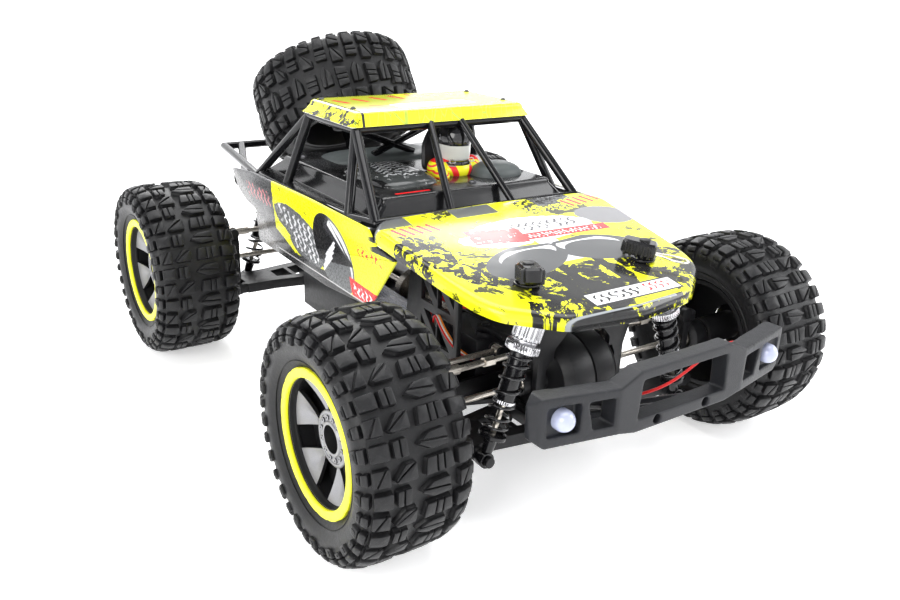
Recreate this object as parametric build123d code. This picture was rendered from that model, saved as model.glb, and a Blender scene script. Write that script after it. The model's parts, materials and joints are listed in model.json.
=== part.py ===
from build123d import *
from math import asin, cos, degrees, radians, sin
import os

# Off-road radio-controlled buggy, four-wheel drive, about 1:10 scale, in millimetres.
# Frame: the front faces -Y, the vehicle's left side is +X, +Z is up. The origin is on the floor,
# below the centre of the overall box.

# ---- driving dimensions ------------------------------------------------------------------------
TYRE_R = 60.0                # tyre outer radius, to the tops of the tread blocks
TYRE_W = 58.0                # widest point of a tyre's sidewalls
TRACK_HALF = 131.0           # centre plane to the middle of a tyre
AXLE_Y = {"f": -131.0, "r": 145.0}
SIDES = {"l": 1, "r": -1}
CORNERS = ["fl", "fr", "rl", "rr"]
HALF_LENGTH = 212.0          # bumper face and tail hoop, from the origin
AXLE_Z = TYRE_R

RUN = 0.05                   # radial clearance of a running fit
GAP = 0.4                    # clearance between separate bodies that pass each other

# Suspension, in corner coordinates: X outboard, Y away from the vehicle's middle, Z up from the floor,
# with the origin below the wheel axis on the centre plane.
ARM_IN_X, ARM_OUT_X = 24.0, 88.0
ARM_LENGTH = ARM_OUT_X - ARM_IN_X
ARM_Z, LINK_Z = 38.0, 79.0
SHAFT_IN_X, KINGPIN_X = 31.0, 95.0
PIN_R = 1.5
SHOCK_Y = 19.5
SHOCK_TOP = (44.0, 111.0)    # X, Z of the upper pivot
SHOCK_FOOT = (70.5, 36.0)    # X, Z of the lower pivot
SHOCK_LEN = ((SHOCK_FOOT[0] - SHOCK_TOP[0]) ** 2 + (SHOCK_FOOT[1] - SHOCK_TOP[1]) ** 2) ** 0.5
SHOCK_TILT = degrees(asin((SHOCK_FOOT[0] - SHOCK_TOP[0]) / SHOCK_LEN))
TIE_IN_X, TIE_OUT_X, TIE_Y, TIE_Z = 28.0, 92.0, -28.0, 68.0

# Chassis
TOWER_Y = (6.6, 10.2)        # the plate's two faces, in corner coordinates
TUB_HALF_W, TUB_FLOOR, TUB_WALL_TOP = 52.0, 33.0, 60.0
TUB_FRONT, TUB_REAR = -92.0, 98.0
LUG_Y, LUG_TOP = (21.0, 25.5), ARM_Z + 4.5   # the lugs that hold the arms' hinge pins
LATTICE_FRONT = -97.0
NOSE_HALF_W = 18.0
WALL = 3.0
DRUM_R, DRUM_HALF_W = 23.4, 19.0
PROP_R, PROP_Z = 2.5, 56.0
SPUR_Y = 27.0
HORN_X, HORN_Y, HORN_REACH, HORN_Z = -22.0, -83.0, 20.0, 72.5

# Wheel
BEAD_R = 34.2
RIM_R, RIM_BORE_R = 34.0, 31.4
RING_R, RING_T = 36.4, 2.4
SPOKES = 6

# Body shell
TUBE_R, THIN_TUBE_R = 3.0, 2.3
SKIN = 1.2
HOOD_REAR_Y, HOOD_REAR_Z, HOOD_SLOPE = -48.0, 136.5, 0.167
HOOD_SKIRT = 7.0
POST_X, POST_Y, POST_R = 41.0, 8.4, 3.0
SPARE_C = (0.0, 143.3, 170.5)
SPARE_TILT = 34.0            # the spare's axis, from vertical, leaning back
SPARE_POST = 50.5            # from the spare's centre down to the cage's cross tube

os.makedirs("parts", exist_ok=True)


def save(node, shape):
    """Write one node; a list becomes a compound of separate solids."""
    if isinstance(shape, (list, tuple)):
        solids = [s for item in shape for s in item.solids()]
        shape = Compound(children=solids)
    export_step(shape, f"parts/{node}.step")


def block(x, y, z):
    """Box from three (low, high) pairs."""
    size = [b - a for a, b in (x, y, z)]
    centre = [(a + b) / 2 for a, b in (x, y, z)]
    return Pos(*centre) * Box(*size)


def rod(a, b, radius):
    """Round bar between two points."""
    a, b = Vector(*a), Vector(*b)
    plane = Plane(origin=a, z_dir=b - a)
    return plane * Pos(0, 0, (b - a).length / 2) * Cylinder(radius, (b - a).length)


def ball(centre, radius):
    return Pos(*centre) * Sphere(radius)


def prism_xz(points, y_low, y_high):
    """Outline in X and Z, given thickness along Y."""
    face = make_face(Polyline(*[(x, y_low, z) for x, z in points], close=True))
    return extrude(face, amount=y_high - y_low, dir=(0, 1, 0))


def prism_yz(points, x_low, x_high):
    """Outline in Y and Z, given thickness along X."""
    face = make_face(Polyline(*[(x_low, y, z) for y, z in points], close=True))
    return extrude(face, amount=x_high - x_low, dir=(1, 0, 0))


def prism_xy(points, z_low, z_high):
    """Outline in X and Y, given thickness along Z."""
    face = make_face(Polyline(*[(x, y, z_low) for x, y in points], close=True))
    return extrude(face, amount=z_high - z_low, dir=(0, 0, 1))


def turned(profile):
    """Solid of revolution about the X axis through the wheel centre, from (x, radius) points."""
    face = make_face(Polyline(*[(x, 0, AXLE_Z + r) for x, r in profile], close=True))
    return revolve(face, axis=Axis((0, 0, AXLE_Z), (1, 0, 0)))


def mirrored(points):
    """Close a half outline, given from +X, over to -X."""
    return points + [(-x, v) for x, v in reversed(points) if x != 0]


def at_corner(shape, corner):
    """Put a shape made in corner coordinates at one of the four corners."""
    if corner[1] == "r":
        shape = mirror(shape, Plane.YZ)
    if corner[0] == "f":
        shape = mirror(shape, Plane.XZ)
    return Pos(0, AXLE_Y[corner[0]], 0) * shape


def eye(x, z, outer, width, bore, y=0.0):
    """Rod eye: a short tube along Y."""
    ring = rod((x, y - width / 2, z), (x, y + width / 2, z), outer)
    return ring - rod((x, y - width, z), (x, y + width, z), bore)


# ---- suspension --------------------------------------------------------------------------------
def lower_arm():
    """A-arm: wide inner barrel, two outer ears round the hub, and a lug that carries the shock's foot."""
    plan = [(ARM_IN_X, -20), (ARM_IN_X, 20), (60, 14), (82, 13.5), (82, -13.5), (60, -14)]
    arm = prism_xy(plan, ARM_Z - 3.5, ARM_Z + 3.5)
    barrel = rod((ARM_IN_X, -20.5, ARM_Z), (ARM_IN_X, 20.5, ARM_Z), 4.5)
    arm = arm + barrel - rod((ARM_IN_X, -21, ARM_Z), (ARM_IN_X, 21, ARM_Z), PIN_R + RUN)
    for low, high in ((8.5, 12.5), (-12.5, -8.5)):
        ear = rod((ARM_OUT_X, low, ARM_Z), (ARM_OUT_X, high, ARM_Z), 4.2)
        arm = arm + ear + block((80, ARM_OUT_X), (low, high), (ARM_Z - 3.5, ARM_Z + 3.5))
    for low, high in ((30, 41), (44, 56)):
        reach = 11 if low < 42 else 9
        arm = arm - prism_xy([(low, -reach), (low, reach), (high, reach - 2), (high, -reach + 2)],
                             ARM_Z - 10, ARM_Z + 10)
    foot_x, foot_z = SHOCK_FOOT
    lug = rod((foot_x, 9, foot_z), (foot_x, SHOCK_Y - 3.4, foot_z), 4)
    hinge_pin = rod((ARM_OUT_X, -12.5, ARM_Z), (ARM_OUT_X, 12.5, ARM_Z), PIN_R)
    foot_pin = rod((foot_x, 10, foot_z), (foot_x, SHOCK_Y + 5.5, foot_z), PIN_R)
    foot_head = rod((foot_x, SHOCK_Y + 3.6, foot_z), (foot_x, SHOCK_Y + 5.5, foot_z), 2.8)
    return arm + lug + hinge_pin + foot_pin + foot_head


def upper_link():
    """Threaded camber link with a rod eye at each end and a hexagon in the middle."""
    link = rod((ARM_IN_X + 3, 0, LINK_Z), (ARM_OUT_X - 3, 0, LINK_Z), 1.7)
    middle = (ARM_IN_X + ARM_OUT_X) / 2
    hexagon = Plane((middle - 3, 0, LINK_Z), z_dir=(1, 0, 0)) * extrude(RegularPolygon(2.8, 6), 6)
    link = link + hexagon
    for end, sign in ((ARM_IN_X, 1), (ARM_OUT_X, -1)):
        link = link + rod((end, 0, LINK_Z), (end + sign * 13, 0, LINK_Z), 2.6)
        link = link + rod((end, -2.5, LINK_Z), (end, 2.5, LINK_Z), 4.2)
    for end in (ARM_IN_X, ARM_OUT_X):
        link = link - rod((end, -5, LINK_Z), (end, 5, LINK_Z), PIN_R + RUN)
    return link


def upright_web():
    """What front and rear hub carriers share: foot barrel, web round the drive shaft, link fork."""
    web = block((85, 90), (-7.5, 7.5), (ARM_Z + 3, LINK_Z - 5))
    web = web + rod((ARM_OUT_X, -8, ARM_Z), (ARM_OUT_X, 8, ARM_Z), 4.2)
    web = web + block((84.5, 91), (-8, 8), (ARM_Z, ARM_Z + 6))
    for low, high in ((3, 6.5), (-6.5, -3)):
        web = web + rod((ARM_OUT_X, low, LINK_Z), (ARM_OUT_X, high, LINK_Z), 3.6)
        web = web + block((85, 91), (low, high), (LINK_Z - 7, LINK_Z))
    web = web + rod((ARM_OUT_X, -6.5, LINK_Z), (ARM_OUT_X, 6.5, LINK_Z), PIN_R)
    web = web - rod((80, 0, AXLE_Z), (95, 0, AXLE_Z), 7)
    return web - rod((ARM_OUT_X, -9, ARM_Z), (ARM_OUT_X, 9, ARM_Z), PIN_R + RUN)


AXLE_BORE_R = 3.0
KNUCKLE_LOW, KNUCKLE_HIGH = 47.0, 73.0


def c_hub():
    """Front hub: the shared web with an arm above and below the knuckle, bored for its kingpins."""
    hub = upright_web()
    for low, high in ((ARM_Z + 2, KNUCKLE_LOW - GAP), (KNUCKLE_HIGH + GAP, KNUCKLE_HIGH + 4.6)):
        hub = hub + block((85, KINGPIN_X), (-5.5, 5.5), (low, high))
        hub = hub + rod((KINGPIN_X, 0, low), (KINGPIN_X, 0, high), 5.5)
    hub = hub - rod((ARM_OUT_X, -9, ARM_Z), (ARM_OUT_X, 9, ARM_Z), PIN_R + RUN)
    hub = hub - block((80, ARM_OUT_X + 4.6), (-2.9, 2.9), (LINK_Z - 4.6, LINK_Z + 6))
    hub = hub + rod((ARM_OUT_X, -6.5, LINK_Z), (ARM_OUT_X, 6.5, LINK_Z), PIN_R)
    return hub - rod((KINGPIN_X, 0, 30), (KINGPIN_X, 0, 90), 2 + RUN)


def knuckle():
    """Steering knuckle: axle barrel, kingpins, and an arm that reaches back to the tie rod."""
    barrel = turned([(93.5, 0), (93.5, 7.6), (96, 10.5), (105, 10.5), (105, 0)])
    posts = rod((KINGPIN_X, 0, KNUCKLE_LOW), (KINGPIN_X, 0, KNUCKLE_HIGH), 4.3)
    pins = rod((KINGPIN_X, 0, ARM_Z + 4), (KINGPIN_X, 0, KNUCKLE_HIGH + 4.6), 2)
    arm = prism_xy([(93.6, -6), (99.5, -6), (99, -14), (96, TIE_Y), (88, TIE_Y), (92, -14)], 60.5, 64)
    arm = arm + rod((TIE_OUT_X, TIE_Y, 60.5), (TIE_OUT_X, TIE_Y, 64), 4)
    body = barrel + posts + pins + arm
    return body - turned([(85, 0), (85, 6.6), (99.4, 6.6), (99.4, AXLE_BORE_R + RUN),
                          (110, AXLE_BORE_R + RUN), (110, 0)])


def hub_carrier():
    """Rear hub: the shared web with the axle barrel fixed to it."""
    barrel = turned([(89, 0), (89, 10.5), (105, 10.5), (105, 0)])
    ribs = block((88, 99), (-2, 2), (ARM_Z + 4, LINK_Z - 6))
    carrier = upright_web() + barrel + ribs
    carrier = carrier - turned([(80, 0), (80, 6.6), (99.4, 6.6), (99.4, AXLE_BORE_R + RUN),
                                (110, AXLE_BORE_R + RUN), (110, 0)])
    return carrier - block((80, ARM_OUT_X + 4.6), (-2.9, 2.9), (LINK_Z - 4.6, LINK_Z + 6)) + rod(
        (ARM_OUT_X, -6.5, LINK_Z), (ARM_OUT_X, 6.5, LINK_Z), PIN_R)


def drive_shaft():
    """Dogbone with a ball and a cross pin at each end."""
    shaft = rod((SHAFT_IN_X, 0, AXLE_Z), (KINGPIN_X, 0, AXLE_Z), 1.75)
    for x in (SHAFT_IN_X, KINGPIN_X):
        shaft = shaft + ball((x, 0, AXLE_Z), 3.6) + rod((x, -4.4, AXLE_Z), (x, 4.4, AXLE_Z), 0.9)
    return shaft


def on_shock(shape):
    """Place a shape made along -Z from the upper pivot on the shock's tilted axis."""
    tilted = Rot(0, -SHOCK_TILT, 0) * shape
    return Pos(SHOCK_TOP[0], SHOCK_Y, SHOCK_TOP[1]) * tilted


SHOCK_BODY_END = 49.0        # distance from the upper pivot down to the body's open end
SPRING_TOP, SPRING_FOOT = 21.0, 65.0


def stack(steps, bore=0.0):
    """Coaxial cylinders along -Z, given as (from, to, radius)."""
    parts = [Pos(0, 0, -(a + b) / 2) * Cylinder(r, b - a) for a, b, r in steps]
    solid = parts[0]
    for piece in parts[1:]:
        solid = solid + piece
    return solid - (Pos(0, 0, -60) * Cylinder(bore, 80) if bore else [])


def shock_body():
    """Cap with its eye, threaded body and the preload collar the spring pushes on."""
    body = stack([(4, 14.5, 7.6), (14.5, 16, 6.4), (16, 20.8, 8.8), (20.8, 47, 4.6), (47, SHOCK_BODY_END, 5.2)])
    body = body - Pos(0, 0, -(18 + 60) / 2) * Cylinder(3.9, 42)
    top = Rot(90, 0, 0) * Cylinder(4.2, 6)
    body = body + top - Rot(90, 0, 0) * Cylinder(PIN_R + RUN, 20)
    return on_shock(body)


def shock_shaft():
    """Piston and shaft, with the spring cup and the rod end at the foot."""
    shaft = stack([(30, 34, 3.8), (34, 72, 1.5), (65.2, 68, 7.2), (68, 76, 3)])
    foot = Pos(0, 0, -SHOCK_LEN) * Rot(90, 0, 0) * Cylinder(4.3, 6)
    bore = Pos(0, 0, -SHOCK_LEN) * Rot(90, 0, 0) * Cylinder(PIN_R + 0.75, 20)
    return on_shock(shaft + foot - bore)


def spring():
    """Coil spring as a plain sleeve of its outer and inner diameter."""
    sleeve = stack([(SPRING_TOP, SPRING_FOOT, 6.6)], bore=5.4)
    return on_shock(sleeve)


# ---- wheel -------------------------------------------------------------------------------------
def tyre():
    """Hollow tyre: rounded crown, bulging sidewalls and two beads that seat on the rim."""
    half = TYRE_W / 2
    outer = [(22, BEAD_R), (22.1, 37.4), (25, 40), (28, 44), (half, 49), (28.2, 53.5), (25.5, 57.3),
             (20, 59.4), (12, TYRE_R)]
    inner = [(18, BEAD_R), (18, 39), (24, 45), (24.8, 50), (21, 54), (12, 55.2)]
    points = outer + [(-x, r) for x, r in reversed(outer)] + [(-x, r) for x, r in inner] + \
        [(x, r) for x, r in reversed(inner)]
    return Pos(TRACK_HALF, 0, 0) * turned(points)


def rim():
    """Rim barrel, spokes and hub in one piece, the yellow bead ring and the stub axle with its nut."""
    out = TRACK_HALF + 22
    barrel = turned([(TRACK_HALF - 22, RIM_BORE_R), (TRACK_HALF - 22, RIM_R), (out, RIM_R), (out, RIM_BORE_R)])
    hub = turned([(110, 3.2), (110, 9), (139, 9), (143, 12), (145.5, 12), (145.5, 6.2), (143.2, 6.2),
                  (143.2, 3.2)])
    disc = turned([(141, 8), (139.5, RIM_R - 1), (143.5, RIM_R - 1), (145, 8)])
    window = Plane((135, 0, AXLE_Z), z_dir=(1, 0, 0)) * extrude(
        make_face(Polyline((14, -4.0), (29.5, -7.5), (29.5, 7.5), (14, 4.0), close=True)), 15)
    for i in range(SPOKES):
        turn = Pos(0, 0, AXLE_Z) * Rot(360 / SPOKES * i, 0, 0) * Pos(0, 0, -AXLE_Z)
        disc = disc - turn * window
    ring = turned([(out + 0.3, RIM_BORE_R), (out + 0.3, RING_R), (out + RING_T, RING_R),
                   (out + RING_T, RIM_BORE_R)])
    stub = turned([(92, 0), (92, 6), (99, 6), (99, AXLE_BORE_R), (147, AXLE_BORE_R), (147, 0)])
    stub = stub - turned([(90, 0), (90, 4.9), (97.6, 4.9), (98.8, 0)])
    stub = stub + turned([(105.6, 2.5), (105.6, 6.5), (109.8, 6.5), (109.8, 2.5)])
    nut = Plane((143.4, 0, AXLE_Z), z_dir=(1, 0, 0)) * extrude(RegularPolygon(5.4, 6), 4.2)
    nut = nut - rod((140, 0, AXLE_Z), (150, 0, AXLE_Z), AXLE_BORE_R + 0.02)
    return [barrel + hub + disc, ring, stub, nut]


# ---- chassis -----------------------------------------------------------------------------------
def chassis_tub():
    """Floor tray with side walls, noses under both gearboxes, arm hinge pins and the side lattices."""
    inner = TUB_HALF_W - WALL
    plan = mirrored([(NOSE_HALF_W, AXLE_Y["f"] - 28), (NOSE_HALF_W, -104), (TUB_HALF_W, TUB_FRONT),
                     (TUB_HALF_W, TUB_REAR), (NOSE_HALF_W, 114), (NOSE_HALF_W, AXLE_Y["r"] + 28)])
    tub = prism_xy(plan, TUB_FLOOR, TUB_FLOOR + WALL)
    for side in (1, -1):
        wall = sorted((side * inner, side * TUB_HALF_W))
        tub = tub + block(wall, (TUB_FRONT, TUB_REAR), (TUB_FLOOR, TUB_WALL_TOP))
        tub = tub + lattice(wall)
        for axle in AXLE_Y.values():
            for low, high in (LUG_Y, (-LUG_Y[1], -LUG_Y[0])):
                lug = sorted((side * 13, side * (ARM_IN_X + 4)))
                tub = tub + block(lug, (axle + low, axle + high), (TUB_FLOOR, LUG_TOP))
            x = side * ARM_IN_X
            tub = tub + rod((x, axle - 25, ARM_Z), (x, axle + 25, ARM_Z), PIN_R)
        guide_y = AXLE_Y["f"] - TIE_Y
        tub = tub + block(sorted((side * 9, side * 12)), (guide_y - 2, guide_y + 2), (TUB_FLOOR, 66 - GAP))
    for y in (TUB_FRONT, TUB_REAR - WALL):
        tub = tub + block((-inner, inner), (y, y + WALL), (TUB_FLOOR, TUB_FLOOR + 14))
    return tub


def lattice(wall):
    """Ribbed frame above the front of a side wall: a plate with triangular windows."""
    plate = prism_yz([(LATTICE_FRONT, 66), (LATTICE_FRONT, 113), (-50, 119), (-42, 60), (TUB_FRONT, 60)], *wall)
    for y in (-88, -71):
        for low in (66, 89):
            a = prism_yz([(y - 5, low + 4), (y + 8, low + 18), (y - 5, low + 18)], wall[0] - 1, wall[1] + 1)
            b = prism_yz([(y - 2, low), (y + 11, low), (y + 11, low + 14)], wall[0] - 1, wall[1] + 1)
            plate = plate - a - b
    return plate


def gearbox(end):
    """Gear housing: drum split by a groove, foot, prop-shaft bore and two output cups."""
    drum = turned([(0.8, 0), (0.8, DRUM_R - 1.4), (-0.8, DRUM_R - 1.4), (-0.8, 0)])
    for side in (1, -1):
        drum = drum + turned([(side * 0.8, 0), (side * 0.8, DRUM_R), (side * 14, DRUM_R),
                              (side * DRUM_HALF_W, DRUM_R - 4), (side * DRUM_HALF_W, 0)])
        cup = turned([(side * 19, 0), (side * 19, 6), (side * 35, 6), (side * 35, 4.9),
                      (side * 27, 4.9), (side * 25.5, 0)])
        drum = drum + cup
    foot = block((-16, 16), (-20, 20), (TUB_FLOOR + WALL, AXLE_Z))
    nose = rod((0, -30, PROP_Z), (0, -10, PROP_Z), 7)
    body = drum + foot + nose
    body = body - rod((0, -31, PROP_Z), (0, -19, PROP_Z), PROP_R + RUN)
    if end == "f":
        body = mirror(body, Plane.XZ)
    return Pos(0, AXLE_Y[end], 0) * body


def shock_tower(end):
    """Plate that stands in front of the drum: legs, arch, shock pins, link pins and body posts."""
    half = [(9, 92), (19, 82), (25, 70), (25, 44), (31, 44), (31, 74), (39, 100), (50, 104), (50, 116),
            (38, 116), (20, 102)]
    plate = prism_xz(mirrored(half), *TOWER_Y)
    for side in (1, -1):
        x_pin, z_pin = side * SHOCK_TOP[0], SHOCK_TOP[1]
        plate = plate + rod((x_pin, POST_Y, z_pin), (x_pin, SHOCK_Y - 3.3, z_pin), 3.4)
        plate = plate + rod((x_pin, POST_Y, z_pin), (x_pin, SHOCK_Y + 5, z_pin), PIN_R)
        plate = plate + rod((x_pin, SHOCK_Y + 3.3, z_pin), (x_pin, SHOCK_Y + 5, z_pin), 2.8)
        x_link = side * ARM_IN_X
        plate = plate + rod((x_link, -2.6, LINK_Z), (x_link, 8, LINK_Z), PIN_R)
        plate = plate + block(sorted((side * 20, side * 31)), TOWER_Y, (LINK_Z - 4, LINK_Z + 4))
        plate = plate + rod((x_link, 3, LINK_Z), (x_link, 8, LINK_Z), 3)
        if end == "f":
            plate = plate + rod((side * POST_X, POST_Y, 108), (side * POST_X, POST_Y, 133), POST_R)
        foot_x = sorted((side * (ARM_IN_X - 4), side * (ARM_IN_X + 3.5)))
        plate = plate + block(foot_x, (TOWER_Y[0], LUG_Y[1]), (LUG_TOP + 0.5, LUG_TOP + 3.5))
        plate = plate + block(foot_x, (LUG_Y[0] + 0.2, LUG_Y[1]), (LUG_TOP, LUG_TOP + 0.6))
    if end == "f":
        plate = mirror(plate, Plane.XZ)
    return Pos(0, AXLE_Y[end], 0) * plate


def motor():
    """Brushed can motor along the prop shaft, with its pinion."""
    x, z = ARM_IN_X, PROP_Z + 1
    can = rod((x, 32, z), (x, 82, z), 17) + rod((x, 82, z), (x, 85, z), 6.5)
    can = can + rod((x, 22, z), (x, 33, z), 1.6) + rod((x, 24, z), (x, 30, z), 7.4)
    mount = block((6, 44), (31, 34), (TUB_FLOOR + WALL, 76)) - rod((0, 30, PROP_Z), (0, 36, PROP_Z), 6.6)
    return can + mount


def centre_shaft():
    """Prop shaft from gearbox to gearbox with the spur gear on it."""
    shaft = rod((0, AXLE_Y["f"] + 21, PROP_Z), (0, AXLE_Y["r"] - 21, PROP_Z), PROP_R)
    return shaft + rod((0, SPUR_Y - 3, PROP_Z), (0, SPUR_Y + 3, PROP_Z), 16)


def steering_servo():
    """Servo case with its two mounting ears and the output boss."""
    case = block((-32, -12), (-88.9, -49), (TUB_FLOOR + WALL, 69))
    ears = block((-32, -12), (-94, -43), (60, 62.5))
    boss = rod((HORN_X, HORN_Y, 69), (HORN_X, HORN_Y, 71.5), 5.5)
    return case + ears + boss + rod((HORN_X, HORN_Y, 69), (HORN_X, HORN_Y, 76), 2.2)


def servo_horn():
    """Arm on the servo's output, with a pin that pushes the steering link."""
    tip_y = HORN_Y - HORN_REACH
    arm = rod((HORN_X, HORN_Y, HORN_Z), (HORN_X, HORN_Y, HORN_Z + 2.5), 5)
    arm = arm + rod((HORN_X, tip_y, HORN_Z), (HORN_X, tip_y, HORN_Z + 2.5), 3)
    arm = arm + block((HORN_X - 2.5, HORN_X + 2.5), (tip_y, HORN_Y), (HORN_Z, HORN_Z + 2.5))
    arm = arm + rod((HORN_X, tip_y, 66.5), (HORN_X, tip_y, HORN_Z + 1), 1.3)
    return arm - rod((HORN_X, HORN_Y, 60), (HORN_X, HORN_Y, 90), 2.2 + RUN)


def steering_link():
    """Centre link that slides across the car between the tie rods, with a slot for the horn's pin."""
    y = AXLE_Y["f"] - TIE_Y
    bar = block((-TIE_IN_X + 5, TIE_IN_X - 5), (y - 3.5, y + 3.5), (66, 70))
    for side in (1, -1):
        x = side * TIE_IN_X
        for low, high in ((2.9, 4.6), (-4.6, -2.9)):
            bar = bar + rod((x, y + low, TIE_Z), (x, y + high, TIE_Z), 3)
            bar = bar + block(sorted((x, side * (TIE_IN_X - 8))), (y + low, y + high), (66, 70))
        bar = bar + rod((x, y - 4.6, TIE_Z), (x, y + 4.6, TIE_Z), 1.2)
    return bar - block((HORN_X - 1.8, HORN_X + 1.8), (y - 1.8, y + 6), (60, 80))


def tie_rod():
    """Steering rod: inner eye on the centre link's pin, outer ball over the knuckle's arm."""
    inner = rod((TIE_IN_X, TIE_Y - 2.5, TIE_Z), (TIE_IN_X, TIE_Y + 2.5, TIE_Z), 2.9)
    bar = rod((TIE_IN_X, TIE_Y, TIE_Z), (TIE_OUT_X, TIE_Y, TIE_Z), 1.6)
    end = ball((TIE_OUT_X, TIE_Y, TIE_Z), 3.5)
    bar = bar + inner + end
    return bar - rod((TIE_IN_X, TIE_Y - 5, TIE_Z), (TIE_IN_X, TIE_Y + 5, TIE_Z), 1.2 + RUN)


def battery_pack():
    """Flat pack with rounded long edges, beside the prop shaft."""
    pack = block((-48, -18), (-36, 70), (TUB_FLOOR + WALL, 61))
    return fillet(pack.edges().filter_by(Axis.Y), 4)


def control_unit():
    """Receiver and speed controller in one case, with cooling fins."""
    case = block((8, 46), (-74, -8), (TUB_FLOOR + WALL, 56))
    for i in range(6):
        y = -34 + 4 * i
        case = case + block((14, 40), (y, y + 1.6), (56, 61))
    return case


# ---- bumper, lamps and wiring ------------------------------------------------------------------
LAMP_X, LAMP_Z, LAMP_R = 70.9, 84.4, 5.3
BUMPER_HOLE_X, BUMPER_HOLE_R = 17.0, 1.6
BUMPER_FACE = -HALF_LENGTH


def front_bumper():
    """Moulded bar with a raised middle, three windows, two lamp pockets and two stays."""
    face = mirrored([(31, 101), (43, 95.5), (82, 96.5), (86.5, 92), (85.5, 76), (80, 71.5), (43, 72), (31, 69.5)])
    bar = prism_xz(face, BUMPER_FACE, BUMPER_FACE + 26)
    plan = mirrored([(43, BUMPER_FACE), (83, BUMPER_FACE + 8), (87, BUMPER_FACE + 14.5), (80, BUMPER_FACE + 18),
                     (42, BUMPER_FACE + 10), (0, BUMPER_FACE + 9)])
    bar = bar & prism_xy(plan, 60, 110)
    bar = bar - prism_xz(mirrored([(29, 96), (30.5, 76)]), BUMPER_FACE - 5, BUMPER_FACE + 30)
    for side in (1, -1):
        triangle = [(side * 45, 77), (side * 45, 91), (side * 59, 91), (side * 56, 77)]
        bar = bar - prism_xz(triangle, BUMPER_FACE - 5, BUMPER_FACE + 30)
        pocket = rod((side * LAMP_X, BUMPER_FACE, LAMP_Z), (side * LAMP_X, BUMPER_FACE + 9, LAMP_Z), 7.5)
        bar = bar - pocket
        bar = bar - rod((side * LAMP_X, BUMPER_FACE, LAMP_Z), (side * LAMP_X, BUMPER_FACE + 30, LAMP_Z), 2.6)
        x = side * BUMPER_HOLE_X
        bar = bar - rod((x, BUMPER_FACE - 1, 73), (x, BUMPER_FACE + 20, 73), BUMPER_HOLE_R)
        stay = [(BUMPER_FACE + 8.5, 70), (BUMPER_FACE + 8.5, 76), (AXLE_Y["f"] - 31, 52),
                (AXLE_Y["f"] - 22, 44), (AXLE_Y["f"] - 22, 36.1), (AXLE_Y["f"] - 31, 36.1)]
        bar = bar + prism_yz(stay, *sorted((side * 8, side * 12.5)))
    return bar


def bumper_lamps():
    """Two lamps: a domed lens on a stem that goes back through the bumper."""
    lamps = []
    for side in (1, -1):
        x, y = side * LAMP_X, BUMPER_FACE + 8.95
        stem = rod((x, y - 1, LAMP_Z), (x, y + 12, LAMP_Z), 2.5)
        flange = rod((x, y - 2.5, LAMP_Z), (x, y, LAMP_Z), LAMP_R)
        dome = ball((x, y - 2.5, LAMP_Z), LAMP_R) & block((x - 9, x + 9), (y - 12, y - 2.5), (LAMP_Z - 9, LAMP_Z + 9))
        lamps.append(stem + flange + dome)
    return lamps


# Corner points of each lead, chosen by hand.
POWER_LEAD_R, LAMP_LEAD_R = 1.5, 0.8
POWER_LEAD = [(-40, -36, 55), (-40, -45, 55), (-41, -51, 66), (-42, -55, 81), (-43, -65, 91), (-43, -80, 90),
              (-41, -96, 94), (-32, -109, 98), (-16, -112, 94), (-2, -104, 85), (10, -93, 68), (16, -84, 52),
              (16, -74, 52)]
LAMP_LEADS = [
    [(side * LAMP_X, BUMPER_FACE + 21.5, LAMP_Z), (side * LAMP_X, BUMPER_FACE + 28, LAMP_Z - 1),
     (side * 60, BUMPER_FACE + 33, 78), (side * 42, BUMPER_FACE + 32, 71), (side * 26, BUMPER_FACE + 30, 68),
     (side * 16, BUMPER_FACE + 36, 62), (side * 15.5, BUMPER_FACE + 46, 56)] for side in (1, -1)]


def lead(points, radius):
    """Insulated wire along straight runs with tangent arcs as large as the runs allow."""
    radii = []
    for a, b, c in zip(points, points[1:], points[2:]):
        a, b, c = Vector(*a), Vector(*b), Vector(*c)
        turn = radians((b - a).get_angle(c - b))
        shorter = min((b - a).length, (c - b).length)
        radii.append(0.45 * shorter * cos(turn / 2) / sin(turn / 2))
    path = FilletPolyline(*points, radius=radii)
    start = Plane(origin=path @ 0, z_dir=path % 0)
    return sweep(start * Circle(radius), path=path)


def wiring():
    """The power lead in a high loop over the gearbox, and one thin lead to each lamp."""
    return [lead(POWER_LEAD, POWER_LEAD_R)] + [lead(points, LAMP_LEAD_R) for points in LAMP_LEADS]


# ---- body shell --------------------------------------------------------------------------------
ROOF = {"front": -4.5, "rear": 65.0, "low": 178.5, "high": 186.5, "half": 66.5, "top_half": 59.5}
PANEL_TOP_X, PANEL_TOP_Z, PANEL_LEAN = 84.0, 134.0, 12.0 / 59.0


def panel_x(z):
    """Outer face of a side panel: it leans inwards towards its foot."""
    return PANEL_TOP_X - (PANEL_TOP_Z - z) * PANEL_LEAN


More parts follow.
